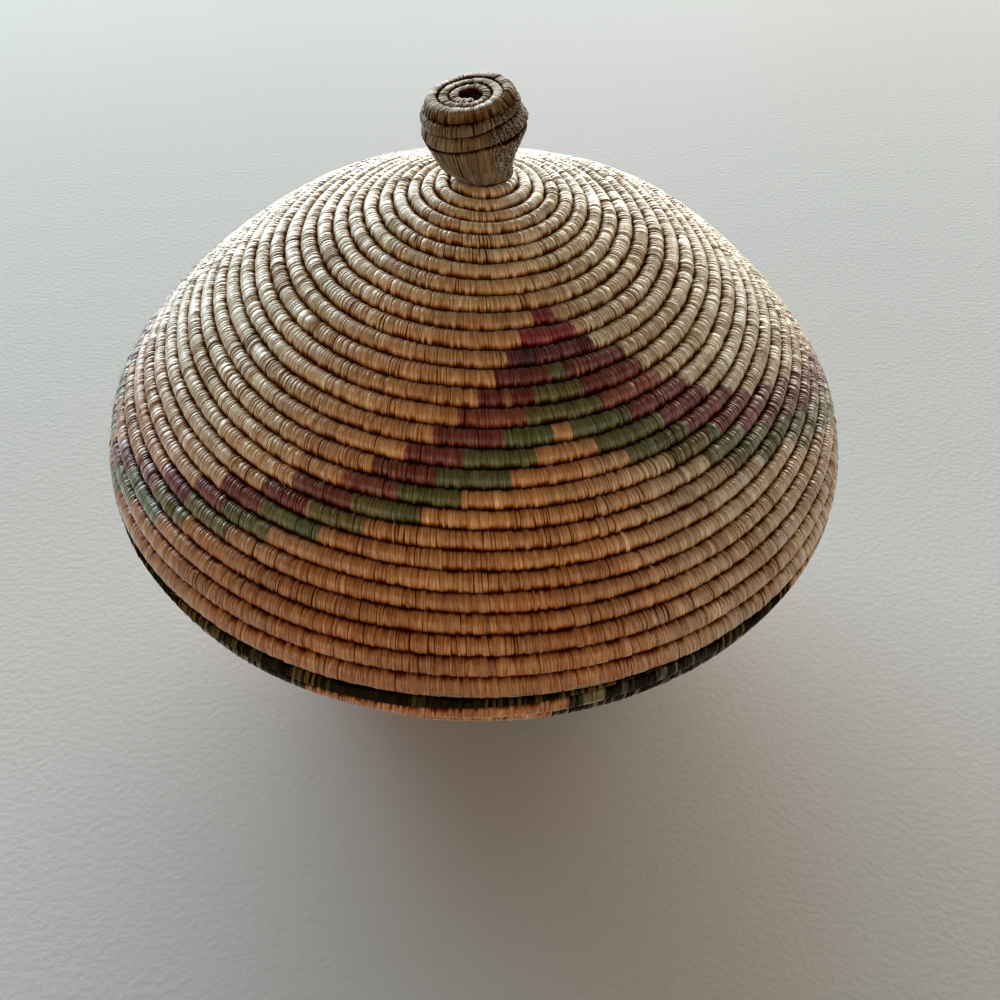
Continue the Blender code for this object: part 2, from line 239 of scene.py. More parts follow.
def srgb(r, g, b):
    c = np.array((r, g, b), float) / 255.0
    return np.where(c <= 0.04045, c / 12.92, ((c + 0.055) / 1.055) ** 2.4)


# ------------------------------------------------------------------ meshes
def make_mesh(name, points, faces, face_data=None, point_data=None, uv=None, matrix=None):
    """An object from arrays. faces is a list of (n, k) integer arrays."""
    me = bpy.data.meshes.new(name)
    points = np.asarray(points, np.float64)
    if matrix is not None:
        m = np.array(matrix)
        points = points @ m[:3, :3].T + m[:3, 3]
    points = points * 0.001
    me.vertices.add(len(points))
    me.vertices.foreach_set("co", points.astype(np.float32).ravel())
    loops = np.concatenate([np.asarray(f, np.int32).ravel() for f in faces])
    sizes = np.concatenate([np.full(len(f), np.asarray(f).shape[1], np.int32) for f in faces])
    starts = np.concatenate([[0], np.cumsum(sizes)[:-1]]).astype(np.int32)
    me.loops.add(len(loops))
    me.loops.foreach_set("vertex_index", loops)
    me.polygons.add(len(sizes))
    me.polygons.foreach_set("loop_start", starts)
    me.update(calc_edges=True)
    me.shade_smooth()
    for key, values in (face_data or {}).items():
        put(me, key, values, "FACE")
    for key, values in (point_data or {}).items():
        put(me, key, values, "POINT")
    if uv is not None:
        layer = me.uv_layers.new(name="OFBake")
        layer.data.foreach_set("uv", np.asarray(uv, np.float32).ravel())
    item = bpy.data.objects.new(name, me)
    bpy.context.scene.collection.objects.link(item)
    return item


def put(me, key, values, domain):
    values = np.asarray(values, np.float32)
    if values.ndim == 1:
        me.attributes.new(key, "FLOAT", domain).data.foreach_set("value", values)
    else:
        me.attributes.new(key, "FLOAT_VECTOR", domain).data.foreach_set("vector", values.ravel())


def tube_faces(rings, sides, closed):
    """Quads between rings of vertices, and the two end caps of an open tube."""
    last = rings if closed else rings - 1
    i = np.repeat(np.arange(last), sides)
    j = np.tile(np.arange(sides), last)
    a = i * sides
    b = ((i + 1) % rings) * sides
    k = (j + 1) % sides
    quads = np.stack([a + j, b + j, b + k, a + k], axis=1)
    if closed:
        return [quads]
    caps = np.stack([np.arange(sides), (rings - 1) * sides + np.arange(sides)[::-1]])
    return [quads, caps]


def turned_out(points, faces):
    """The same faces, reversed if they enclose a negative volume."""
    q = np.asarray(faces[0])
    p = np.asarray(points)
    p = p - p.mean(axis=0)
    a, b, d, e = (p[q[:, n]] for n in range(4))
    volume = np.einsum("ij,ij->i", a, np.cross(b, d)).sum() + np.einsum(
        "ij,ij->i", a, np.cross(d, e)
    ).sum()
    if volume < 0.0:
        return [np.asarray(f)[:, ::-1] for f in faces]
    return faces


def strip_map(faces, s, sides, closed, around):
    """Texture places: the tube is cut into lanes that lie side by side in the square."""
    rings = len(s)
    total = s[-1] - s[0] if not closed else (s[-1] - s[0]) * rings / max(rings - 1, 1)
    lanes = max(1, int(round(math.sqrt(total / around))))
    quads = np.asarray(faces[0])
    ring, j = quads // sides, quads % sides
    j = np.where((j == 0) & (j.max(axis=1) == sides - 1)[:, None], sides, j)
    if closed:
        ring = np.where((ring == 0) & (ring.max(axis=1) == rings - 1)[:, None], rings, ring)
    places = np.concatenate([s - s[0], [total]])
    first = ring.min(axis=1)
    lane = np.minimum((places[first] / total * lanes).astype(int), lanes - 1)
    starts = np.array([places[first[lane == k].min()] if (lane == k).any() else 0.0 for k in range(lanes)])
    ends = np.array(
        [places[first[lane == k].max() + 1] if (lane == k).any() else 1.0 for k in range(lanes)]
    )
    longest = (ends - starts).max()
    rows = lanes + (0 if closed else 1)
    m = 0.004
    u = m + (1.0 - 2.0 * m) * (places[ring] - starts[lane][:, None]) / longest
    v = (lane[:, None] + 0.03 + 0.94 * j / sides) / rows
    uv = [np.stack([u, v], axis=-1).reshape(-1, 2)]
    if not closed:
        for k in range(2):
            cap = np.asarray(faces[1])[k]
            turn = TAU * (cap % sides) / sides
            centre = np.array([0.25 + 0.5 * k, (lanes + 0.5) / rows])
            uv.append(centre + 0.35 / rows * np.stack([np.cos(turn), np.sin(turn)], axis=-1))
    return np.concatenate(uv)


# ------------------------------------------------------------------ strands
def strand_gaps(length, seed, mean=1.40, low=0.70, high=3.2, spread=0.20):
    """Places of the gaps between strands: runs of thin strands and runs of flat wide ones."""
    rng = np.random.default_rng(seed)
    widths = []
    while len(widths) < length / mean * 1.5 + 20:
        kind = rng.choice(3, p=(0.42, 0.36, 0.22))
        run = int(rng.integers(*((4, 13), (3, 10), (1, 5))[kind]))
        size = mean * (0.74, 1.02, 1.52)[kind]
        widths += list(size * np.exp(rng.normal(0.0, spread, run)))
    widths = np.clip(widths, low, high)
    ends = np.cumsum(widths)
    n = int(np.searchsorted(ends, length)) + 1
    gaps = np.concatenate([[0.0], ends[:n]])
    return gaps * (length / gaps[-1])


def section(exponent=2.15):
    """Points round the coil: (across from -1 to 1, outwards from -1 to 1)."""
    deg = np.array(
        (5.0, 23.0, 44.0, 66.0, 90.0, 114.0, 136.0, 157.0, 175.0, 206.0, 240.0, 270.0, 300.0, 334.0)
    )
    c, s = np.cos(np.radians(deg)), np.sin(np.radians(deg))
    x = np.sign(c) * np.abs(c) ** (2.0 / exponent)
    y = np.sign(s) * np.abs(s) ** (2.0 / exponent)
    return x, y


class Strands:
    """Strands laid side by side along a length, with what differs from one to the next."""

    def __init__(self, gaps, seed, relief=1.0):
        rng = np.random.default_rng(seed)
        self.gaps = gaps
        n = self.count = len(gaps) - 1
        self.middle = 0.5 * (gaps[:-1] + gaps[1:])
        self.width = gaps[1:] - gaps[:-1]
        # one strip of raffia lasts many wraps, so neighbours share a tone and how flat they lie
        strip = np.zeros(n, int)
        i, name = 0, 0
        while i < n:
            run = int(rng.integers(6, 34))
            strip[i : i + run] = name
            i += run
            name += 1
        tones = rng.normal(0.0, 1.0, name + 1)
        hues = rng.normal(0.0, 1.0, name + 1)
        ropy = np.clip(rng.normal(0.9, 0.45, name + 1), 0.25, 2.0)[strip] * relief
        self.lift = np.clip(rng.normal(0.0, 0.042, n), -0.11, 0.12) * ropy
        self.tilt = np.clip(rng.normal(0.0, 0.05, n), -0.11, 0.11) * ropy
        self.spread = 1.0 + np.clip(rng.normal(0.0, 0.024, n), -0.06, 0.045)
        self.slant = np.radians(4.5) + rng.normal(0.0, math.radians(2.6), n)
        self.dip = np.clip(rng.gamma(1.7, 0.085, n + 1), 0.02, 0.45)
        self.dip[:-1] *= ropy
        wide = rng.random(n + 1) < 0.06
        self.dip[wide] += 0.30
        # how round each strand is, and how sharply it turns down at its sides
        self.crown = np.clip(rng.normal(0.075, 0.03, n), 0.02, 0.16) * np.clip(ropy, 0.6, 1.5)
        self.edge = rng.uniform(1.8, 3.4, n)
        self.tone = 0.55 * tones[strip] + 0.5 * rng.normal(0.0, 1.0, n)
        pale = rng.random(n) < 0.08
        self.tone[pale] += 1.7
        dark = rng.random(n) < 0.03
        self.tone[dark] -= 1.8
        self.hue = 0.8 * hues[strip] + 0.35 * rng.normal(0.0, 1.0, n)
        self.random = rng.random(n)
        self.strip = strip

    def rings(self, first=0, last=None):
        """Place, lift, spread, slant and gap depth of every ring of strands first..last, and each face strip's strand."""
        last = self.count if last is None else last
        k = np.arange(first, last)
        n = len(k)
        s, lift, spread, slant, ridge = (np.empty(3 * n + 1) for _ in range(5))
        edge = np.clip(0.20 / self.width[k], 0.09, 0.24)
        prev = np.maximum(k - 1, 0)
        s[0:-1:3] = self.gaps[k]
        lift[0:-1:3] = 0.5 * (self.lift[prev] + self.lift[k]) - 0.55 * self.dip[k]
        spread[0:-1:3] = np.minimum(self.spread[prev], self.spread[k]) - 0.02
        slant[0:-1:3] = 0.5 * (self.slant[prev] + self.slant[k])
        ridge[0:-1:3] = self.dip[k]
        s[1:-1:3] = self.gaps[k] + edge * self.width[k]
        lift[1:-1:3] = self.lift[k] + self.tilt[k]
        spread[1:-1:3] = self.spread[k]
        slant[1:-1:3] = self.slant[k]
        ridge[1:-1:3] = 0.0
        s[2:-1:3] = self.gaps[k] + (1.0 - edge) * self.width[k]
        lift[2:-1:3] = self.lift[k] - self.tilt[k]
        spread[2:-1:3] = self.spread[k]
        slant[2:-1:3] = self.slant[k]
        ridge[2:-1:3] = 0.0
        s[-1] = self.gaps[last]
        nxt = min(last, self.count - 1)
        lift[-1] = 0.5 * (self.lift[last - 1] + self.lift[nxt]) - 0.55 * self.dip[last]
        spread[-1] = min(self.spread[last - 1], self.spread[nxt]) - 0.02
        slant[-1] = 0.5 * (self.slant[last - 1] + self.slant[nxt])
        ridge[-1] = self.dip[last]
        return s, lift, spread, slant, ridge, np.repeat(k, 3)


# ------------------------------------------------------------------ the pattern
# Dyed bands of the front chevron: row, then (colour, from, to) in degrees round the lid.
# Row k lies between grooves k and k+1; 0 degrees is the front, growing to the right.
CHEVRON = {
    9: (("C", 18, 25),),
    10: (("C", 13.5, 30),),
    11: (("P", 8.5, 34),),
    12: (("M", 4, 18), ("G", 18, 22.5), ("M", 22.5, 40)),
    13: (("M", 0, 14), ("G", 14, 25), ("M", 25, 42.5)),
    14: (("U", -4, 11), ("G", 11, 29), ("U", 29, 46)),
    15: (("M", -8.7, 6), ("G", 6, 16), ("G", 19.6, 33.5), ("M", 33.5, 50.6)),
    16: (("M", -13.7, -1.9), ("G", -1.9, 11.3), ("G", 24.4, 40), ("M", 40, 54.4)),
    17: (("M", -19.5, -6.9), ("G", -6.9, 6), ("G", 30, 44.4), ("M", 44.4, 60)),
    18: (("U", -24.4, -13.7), ("G", -13.7, -1.9), ("G", 37.5, 51), ("M", 51, 63.7)),
    19: (("M", -32.9, -21), ("G", -21, -9), ("G", 44.4, 56.2), ("M", 56.2, 70)),
    20: (("M", -38, -28.5), ("G", -28.5, -17.5), ("G", 49, 61.5), ("M", 61.5, 76.5)),
    21: (("M", -45.2, -36.2), ("G", -36.2, -25.2), ("G", 56, 68.7), ("M", 68.7, 81)),
    22: (("M", -50.4, -43), ("G", -43, -33), ("G", 65, 73.7), ("M", 73.7, 86)),
    23: (("M", -58.7, -50), ("G", -50, -40), ("G", 67.5, 79), ("M", 79, 92)),
    24: (("M", -65, -57), ("G", -57, -48), ("G", 74, 85), ("M", 85, 97)),
    25: (("M", -72, -66), ("G", -66, -54), ("G", 80, 90), ("M", 90, 102)),
    26: (("M", -76, -70), ("G", -70, -62), ("G", 86, 95), ("M", 95, 104)),
    27: (("G", -75, -68), ("G", 92, 98)),
}
DYES = {
    "C": srgb(150, 38, 44),
    "P": srgb(112, 48, 54),
    "M": srgb(122, 42, 36),
    "U": srgb(158, 74, 42),
    "G": srgb(112, 98, 40),
    "K": srgb(34, 28, 12),
}
# undyed raffia: the paler top colour and the deeper low one are in part painted light (sheen on the upward rounds, warm
# bounce light on the low ones); the pale side colour is a painted sheen of the windows' gloss on the sides and back
NATURAL = srgb(216, 149, 86)
NATURAL_TOP = srgb(226, 184, 134)
NATURAL_LOW = srgb(190, 118, 55)
NATURAL_PAINTED_SHEEN = srgb(214, 189, 151)
KNOB_TONE = srgb(127, 101, 68)


def lid_dye(u):
    degrees = (u * 360.0 + 180.0) % 360.0 - 180.0
    for turn, row in (
        (degrees, int(round(u - degrees / 360.0))),
        ((degrees + 360.0) % 360.0 - 180.0, None),
    ):
        far = row is None
        if far:  # the far chevron's rows are counted from the back
            row = int(round(u - (turn + 180.0) / 360.0))
        for dye, low, high in CHEVRON.get(row, ()):
            if low <= turn < high:
                if far and row >= 24 and turn > 80.0:  # its lower end is green up to the left edge
                    return "G"
                return dye
    return ""


def bowl_dye(u):
    if u < 0.30 or 0.855 < u < 0.965 or 1.065 < u < 1.36 or 1.855 < u < 1.97:
        return "K"
    degrees = (-u * 360.0 + 180.0) % 360.0 - 180.0
    for turn, row in (
        (degrees, int(round(u + degrees / 360.0))),
        ((degrees + 360.0) % 360.0 - 180.0, None),
    ):
        if row is None:
            row = int(round(u + (turn + 180.0) / 360.0))
        for dye, low, high in CHEVRON.get(28 - row, ()):
            if low <= turn < high:
                return dye
    return ""


def lid_natural_and_painted_sheen(u):
    """Undyed raffia of the lid: deeper in colour towards the rim and paler near the knob, in part painted light (warm
    bounce light on the low rounds, sheen on the upward ones); paler and greyer on its right, left and back as a painted
    sheen of the windows' gloss, less on the left near the rim.
    """
    degrees = (u * 360.0 + 180.0) % 360.0 - 180.0
    top = 1.0 - float(smooth(np.array((u - 2.0) / 13.0)))
    low = float(smooth(np.array((u - 17.0) / 9.0)))
    # painted sheen: how far the pale side colour takes over on the right and on the left
    right = float(smooth(np.array((degrees - 12.0) / 34.0)))
    left = float(smooth(np.array((-degrees - 14.0) / 50.0)))
    left *= 1.0 - 0.8 * low * (1.0 - float(smooth(np.array((-degrees - 75.0) / 60.0))))
    colour = NATURAL + top * (NATURAL_TOP - NATURAL) + low * (NATURAL_LOW - NATURAL)
    pale = NATURAL_PAINTED_SHEEN + 0.42 * low * (NATURAL_LOW - NATURAL_PAINTED_SHEEN)
    return colour + max(left, right) * (pale - colour)


def bowl_natural_and_painted_sheen(u):
    """Undyed raffia of the bowl: paler and greyer on the same sides as the lid, as a painted sheen of the windows'
    gloss.
    """
    degrees = (-u * 360.0 + 180.0) % 360.0 - 180.0
    right = float(smooth(np.array((degrees - 12.0) / 34.0)))
    left = float(smooth(np.array((-degrees - 75.0) / 60.0)))
    return NATURAL_LOW + 0.6 * max(left, right) * (NATURAL_PAINTED_SHEEN - NATURAL_LOW)


def strand_colours(strands, dye_of, where, natural_of=None, seed=5):
    """Colour of every strand, from its dye and its own tone and hue."""
    rng = np.random.default_rng(seed)
    colours = np.empty((strands.count, 3))
    lengths = rng.normal(0.0, 1.0, (strands.strip.max() + 1, 2))
    for i in range(strands.count):
        dye = dye_of(where[i])
        tone, hue, chance = strands.tone[i], strands.hue[i], strands.random[i]
        lot = lengths[strands.strip[i]]
        natural = NATURAL_LOW if natural_of is None else natural_of(where[i])
        if dye == "K":
            base = DYES["K"]
            degrees = (-where[i] * 360.0 + 180.0) % 360.0 - 180.0
            olive = 0.55 if -46.0 < degrees < -33.0 else 0.30 if 7.0 < degrees < 21.0 else 0.10
            if chance < olive:
                base = srgb(104, 82, 30)
            elif chance < olive + 0.18:
                base = srgb(58, 52, 24)
            colours[i] = base * math.exp(0.2 * tone)
        elif dye:
            base = DYES[dye]
            if dye == "G":  # the green runs from olive to a bluer green
                mix = np.clip(0.42 + 0.34 * lot[0] + 0.14 * hue, 0.0, 1.0)
                base = (1.0 - mix) * srgb(118, 100, 36) + mix * srgb(96, 104, 50)
            elif dye in "MPU":
                mix = np.clip(0.30 + 0.32 * lot[1] + 0.16 * hue, 0.0, 0.85)
                base = (1.0 - mix) * base + mix * (
                    srgb(134, 62, 36) if dye != "P" else srgb(96, 50, 58)
                )
            if chance < 0.010:  # a strand that took little dye
                base = 0.6 * base + 0.4 * natural
            colours[i] = base * math.exp(0.14 * tone)
        else:
            colours[i] = (
                natural
                * math.exp(0.13 * tone)
                * np.array((1.0 + 0.02 * hue, 1.0 - 0.01 * hue, 1.0 - 0.06 * hue))
                * np.array((1.0, 1.0 + 0.05 * max(tone, 0.0), 1.0 + 0.12 * max(tone, 0.0)))
            )
    return np.clip(colours, 0.004, 0.9)


# ------------------------------------------------------------------ wrapped pieces
def wrapped(name, strands, shape, colours, first=0, last=None, closed=False, around=19.0, matrix=None, knit=None):
    """Strands first..last as one closed tube; shape gives the points of every ring.

    knit tells from a point's angle and height how far crossed stitches cover the strands there.
    """
    s, lift, spread, slant, ridge, strip = strands.rings(first, last)
    if closed:
        s, lift, spread, slant, ridge = (v[:-1] for v in (s, lift, spread, slant, ridge))
    points, fib, cave, worn = shape(s, lift, spread, slant, ridge, strands)
    rings, sides = points.shape[:2]
    points = points.reshape(-1, 3)
    extra = {}
    if knit is not None:
        angle = np.arctan2(points[:, 0], -points[:, 1])
        extra["knit"] = np.stack([angle * 15.0, points[:, 2], knit(angle, points[:, 2])], axis=-1)
    faces = turned_out(points, tube_faces(rings, sides, closed))
    face_strip = np.repeat(strip, sides)
    if not closed:
        face_strip = np.concatenate([face_strip, [strip[0], strip[-1]]])
    return make_mesh(
        name,
        points,
        faces,
        face_data={
            "dye": colours[face_strip],
            "own": strands.random[face_strip],
            "lane": np.stack([strands.gaps[:-1], strands.width, strands.crown], axis=1)[face_strip],
            "seam": np.stack([strands.dip[:-1], strands.dip[1:], strands.edge], axis=1)[face_strip],
        },
        point_data={
            "fib": fib.reshape(-1, 3),
            "cave": cave.reshape(-1),
            "worn": worn.reshape(-1),
            **extra,
        },
        uv=strip_map(faces, s, sides, closed, around),
        matrix=matrix,
    )


# painted shade, with some grime, in the deep gaps between strands: how far the colour darkens there
def gap_shade_and_dirt(ridge):
    return np.clip((ridge - 0.05) / 0.30, 0.0, 1.0) * 0.85


GROOVE_LID = wander(11, 34.0, 0.035, 0.020)
GROOVE_BOWL = wander(12, 34.0, 0.035, 0.020)
SWELL = wander(13, 16000.0, 15.0, 1.0)
WORN_LID = wander(14, 34.0, 0.011, 1.0)


def coil_shape(kind, u_of):
    lid = kind == "lid"
    curve, level = (LID, lid_level) if lid else (BOWL, bowl_level)
    way = 1.0 if lid else -1.0
    meet = LID_ROUNDS if lid else 0.0
    groove = GROOVE_LID if lid else GROOVE_BOWL

    def shape(s, lift, spread, slant, ridge, strands):
        u = u_of(s)
        share = lid_width(u) if lid else bowl_width(u)
        if not lid:  # the coil's own beginning in the middle of the base
            share = share * (1.0 - 0.75 * smooth((u - BASE_MIDDLE + 0.10) / 0.10))
        share = np.maximum(share, 0.12)
        if lid:
            low, high = u, u + share
        else:
            low, high = u + 1.0 - share, u + 1.0
        a = level(low, u) + groove(low + 2.0) * smooth(np.abs(low - meet) / 2.5)
        b = level(high, u) + groove(high + 2.0) * smooth(np.abs(high - meet) / 2.5)
        x, y = section(2.0)
        thick = smooth(share * 1.6) ** 0.6
        flat = np.zeros_like(u) if lid else smooth((u + 0.5 - 16.5) / 3.0)
        crest = (CREST + 0.25 + 0.09 * SWELL(s)) * (1.0 - flat) * thick
        if lid:  # under the nub the first part of the coil lies lower
            crest = crest - 1.5 * (1.0 - smooth((u - NUB) / 0.012)) + 0.45 * (
                smooth((u - NUB) / 0.012) - smooth((u - NUB - 0.02) / 0.05)
            )
        deep = COIL_DEPTH * (0.35 + 0.65 * thick)
        middle = 0.5 * (crest - deep)
        half = 0.5 * (crest + deep)
        f = 0.5 + 0.52 * x[None, :] * spread[:, None]  # no light between the rounds
        at = a[:, None] + f * (b - a)[:, None]
        r, z = curve.at(at)
        nr, nz = curve.normal(at)
        room = np.where(y > 0.0, 1.0, 0.6)[None, :]
        dn = lift[:, None] * room * np.abs(y)[None, :] ** 0.5
        dn = dn - flat[:, None] * 0.17 * (y[None, :] > 0.0)
        off = middle[:, None] + half[:, None] * y[None, :] + dn * np.sign(y)[None, :]
        if lid:
            off = off + lid_swell(at, (TAU * u)[:, None])
        else:
            r = r + bowl_swell(at, (-TAU * u)[:, None])
        r = np.maximum(r + nr * off, 0.2)
        z = z + nz * off
        z = np.minimum(np.maximum(z, -BOWL_HEIGHT), 0.0) if not lid else np.maximum(z, 0.0)
        pitch = np.hypot(*(np.subtract(curve.at(b), curve.at(a))))
        shift = np.tan(slant)[:, None] * x[None, :] * 0.5 * pitch[:, None]
        phi = way * TAU * u[:, None] + way * shift / np.maximum(r, 4.0)
        points = np.stack([r * np.sin(phi), -r * np.cos(phi), z + BOWL_HEIGHT], axis=-1)
        fib = np.stack(
            [
                np.broadcast_to(s[:, None], f.shape),
                0.5 * pitch[:, None] * x[None, :],
                half[:, None] * y[None, :],
            ],
            axis=-1,
        )
        near, far = (0.52, 0.30) if lid else (0.42, 0.42)  # painted groove shade with some grime; on the lid it reaches further over each round's lower side as painted shadow
        outer = np.clip((np.abs(x) - np.where(x > 0.0, far, near)) / np.where(x > 0.0, 1.0 - far, 1.0 - near), 0.0, 1.0)
        outer = outer ** 1.25
        cave = np.maximum(outer[None, :], gap_shade_and_dirt(ridge)[:, None])
        worn = np.zeros_like(f)
        if lid:
            # the last round is worn along its lower edge, and bare in patches near the front
            last = smooth((u - 26.86) / 0.05) * smooth((27.62 - u) / 0.05)
            bare = smooth((WORN_LID(u) - 0.15) * 2.0) * last
            worn = np.maximum(worn, bare[:, None] * smooth((x[None, :] + 0.05) / 0.35) * (y[None, :] > 0.0))
        return points, fib, cave, worn

    return shape


def coil_lengths(kind):
    """u along the coil against arc length."""
    curve = LID if kind == "lid" else BOWL
    first = -0.5 if kind == "lid" else BOWL_FIRST
    last = LID_LAST - 0.012 if kind == "lid" else BASE_MIDDLE
    u = np.linspace(first, last, 20001)
    r, _ = curve.at(u + 0.5)
    s = np.concatenate([[0.0], np.cumsum(0.5 * (r[1:] + r[:-1]) * TAU * np.diff(u))])
    return u, s


lid_u, lid_s = coil_lengths("lid")
bowl_u, bowl_s = coil_lengths("bowl")
lid_gaps = strand_gaps(lid_s[-1], 101)
bowl_gaps = strand_gaps(bowl_s[-1], 102, mean=1.4)
lid_strands = Strands(lid_gaps, 201)
bowl_strands = Strands(bowl_gaps, 202)
lid_where = np.interp(lid_strands.middle, lid_s, lid_u)
bowl_where = np.interp(bowl_strands.middle, bowl_s, bowl_u)
lid_colours = strand_colours(lid_strands, lid_dye, lid_where, lid_natural_and_painted_sheen)
bowl_colours = strand_colours(bowl_strands, bowl_dye, bowl_where, bowl_natural_and_painted_sheen)


# ------------------------------------------------------------------ materials
def fibre_material(
    name,
    rough=0.36,
    bump=1.0,
    sheen=0.95,
    fine_gain=(0.68, 1.34),
    groove_shade_and_dirt=0.13,
    specular=0.85,
    coat=1.0,
    plain=None,
    knit=False,
):
    """Flat strips of leaf: fine fibres along each strand, satin, with painted shade and some grime where strands and
    rounds meet.

    plain gives one colour to a piece that has no colour of its own per strand. knit adds the
    short crossed stitches of the knob's right side where the attribute of that name says so.
    """
    mat = bpy.data.materials.new(name)
    mat.use_nodes = True
    nt = mat.node_tree
    nt.nodes.clear()
    n, link = nt.nodes, nt.links

    def node(kind, **values):
        made = n.new(kind)
        for key, value in values.items():
            setattr(made, key, value)
        return made

    def maths(op, a, b=None, clamp=False):
        made = node("ShaderNodeMath", operation=op, use_clamp=clamp)
        for i, v in enumerate((a, b)):
            if v is None:
                continue
            if isinstance(v, (int, float)):
                made.inputs[i].default_value = v
            else:
                link.new(v, made.inputs[i])
        return made.outputs[0]

    def vmul(v, xyz):
        made = node("ShaderNodeVectorMath", operation="MULTIPLY")
        link.new(v, made.inputs[0])
        made.inputs[1].default_value = xyz
        return made.outputs[0]

    def noise(v, detail, roughness):
        made = node("ShaderNodeTexNoise")
        made.inputs["Scale"].default_value = 1.0
        made.inputs["Detail"].default_value = detail
        made.inputs["Roughness"].default_value = roughness
        link.new(v, made.inputs["Vector"])
        return made.outputs["Fac"]

    def ramp(v, low, high, out_low, out_high):
        made = node("ShaderNodeMapRange", interpolation_type="SMOOTHSTEP")
        link.new(v, made.inputs["Value"])
        made.inputs["From Min"].default_value = low
        made.inputs["From Max"].default_value = high
        made.inputs["To Min"].default_value = out_low
        made.inputs["To Max"].default_value = out_high
        return made.outputs["Result"]

    def mix(factor, a, b, blend="MIX"):
        made = node("ShaderNodeMix", data_type="RGBA", blend_type=blend)
        for key, v in (("Factor", factor), ("A", a), ("B", b)):
            # a colour mix has its sockets under the same names as the other kinds
            socket = [i for i in made.inputs if i.name == key and i.enabled][0]
            if isinstance(v, tuple):
                socket.default_value = v
            elif isinstance(v, (int, float)):
                socket.default_value = v
            else:
                link.new(v, socket)
        return [o for o in made.outputs if o.enabled][0]

    out = node("ShaderNodeOutputMaterial")
    shader = node("ShaderNodeBsdfPrincipled")
    link.new(shader.outputs[0], out.inputs[0])
    fib = node("ShaderNodeAttribute", attribute_name="fib").outputs["Vector"]
    own = node("ShaderNodeAttribute", attribute_name="own").outputs["Fac"]
    cave = node("ShaderNodeAttribute", attribute_name="cave").outputs["Fac"]
    worn = node("ShaderNodeAttribute", attribute_name="worn").outputs["Fac"]
    if plain is None:
        dye = node("ShaderNodeAttribute", attribute_name="dye").outputs["Color"]
    else:
        rgb = node("ShaderNodeRGB")
        rgb.outputs[0].default_value = (*plain, 1.0)
        dye = rgb.outputs[0]

    shifted = node("ShaderNodeVectorMath", operation="ADD")
    link.new(fib, shifted.inputs[0])
    jump = node("ShaderNodeCombineXYZ")
    link.new(maths("MULTIPLY", own, 37.0), jump.inputs[1])
    link.new(jump.outputs[0], shifted.inputs[1])
    place = shifted.outputs[0]

    fine = noise(vmul(place, (2.0, 0.14, 0.14)), 3.0, 0.6)
    finer = noise(vmul(place, (8.0, 0.28, 0.28)), 2.0, 0.6)
    blotch = noise(vmul(place, (0.33, 0.30, 0.30)), 3.0, 0.55)
    cloud = noise(vmul(fib, (0.035, 0.02, 0.02)), 2.0, 0.5)
    low, high = fine_gain

    gain = maths("MULTIPLY", ramp(fine, 0.28, 0.72, low, high), ramp(finer, 0.25, 0.75, 0.82, 1.17))
    gain = maths("MULTIPLY", gain, ramp(blotch, 0.3, 0.72, 0.90, 1.09))
    gain = maths("MULTIPLY", gain, ramp(cloud, 0.3, 0.7, 0.93, 1.07))
    crown = None
    if plain is None:
        # place across the strand, and how far its two gaps are, in mm
        lane = node("ShaderNodeSeparateXYZ")
        link.new(node("ShaderNodeAttribute", attribute_name="lane").outputs["Vector"], lane.inputs[0])
        seam = node("ShaderNodeSeparateXYZ")
        link.new(node("ShaderNodeAttribute", attribute_name="seam").outputs["Vector"], seam.inputs[0])
        along = node("ShaderNodeSeparateXYZ")
        link.new(fib, along.inputs[0])
        near = maths("SUBTRACT", along.outputs[0], lane.outputs[0])
        far = maths("SUBTRACT", lane.outputs[1], near)
        # painted shade in the gap on each side of a strand: a dark line, wider and darker where the gap is deeper
        for gap, dip in ((near, seam.outputs[0]), (far, seam.outputs[1])):
            half = maths("ADD", maths("MULTIPLY", dip, 0.42), 0.07)
            dark = maths("MULTIPLY", maths("SUBTRACT", maths("DIVIDE", gap, half), 0.20), 1.25, True)
            strength = maths("ADD", maths("MULTIPLY", dip, 1.6), 0.13, True)
            gain = maths(
                "MULTIPLY",
                gain,
                maths("SUBTRACT", 1.0, maths("MULTIPLY", maths("SUBTRACT", 1.0, dark), maths("MULTIPLY", strength, 0.80))),
            )
        across = maths("DIVIDE", near, lane.outputs[1], True)
        slope = maths("ABSOLUTE", maths("SUBTRACT", maths("MULTIPLY", across, 2.0), 1.0))
        crown = maths("SUBTRACT", 1.0, maths("POWER", slope, seam.outputs[2]))
        crown = maths("MULTIPLY", crown, lane.outputs[2])
    if knit:
        cell = node("ShaderNodeSeparateXYZ")
        link.new(node("ShaderNodeAttribute", attribute_name="knit").outputs["Vector"], cell.inputs[0])
        bend = maths("MULTIPLY", maths("SUBTRACT", noise(vmul(fib, (0.30, 0.30, 0.30)), 1.0, 0.5), 0.5), 1.8)
        wale = maths("ADD", maths("DIVIDE", maths("ADD", cell.outputs[0], bend), 3.2), 100.0)
        half = maths("ABSOLUTE", maths("SUBTRACT", maths("MULTIPLY", maths("FRACT", wale), 2.0), 1.0))
        course = maths("ADD", maths("DIVIDE", maths("ADD", cell.outputs[1], bend), 1.3), maths("MULTIPLY", half, 1.2))
        course = maths("ADD", course, 100.0)
        lie = maths("ABSOLUTE", maths("SUBTRACT", maths("MULTIPLY", maths("FRACT", course), 2.0), 1.0))
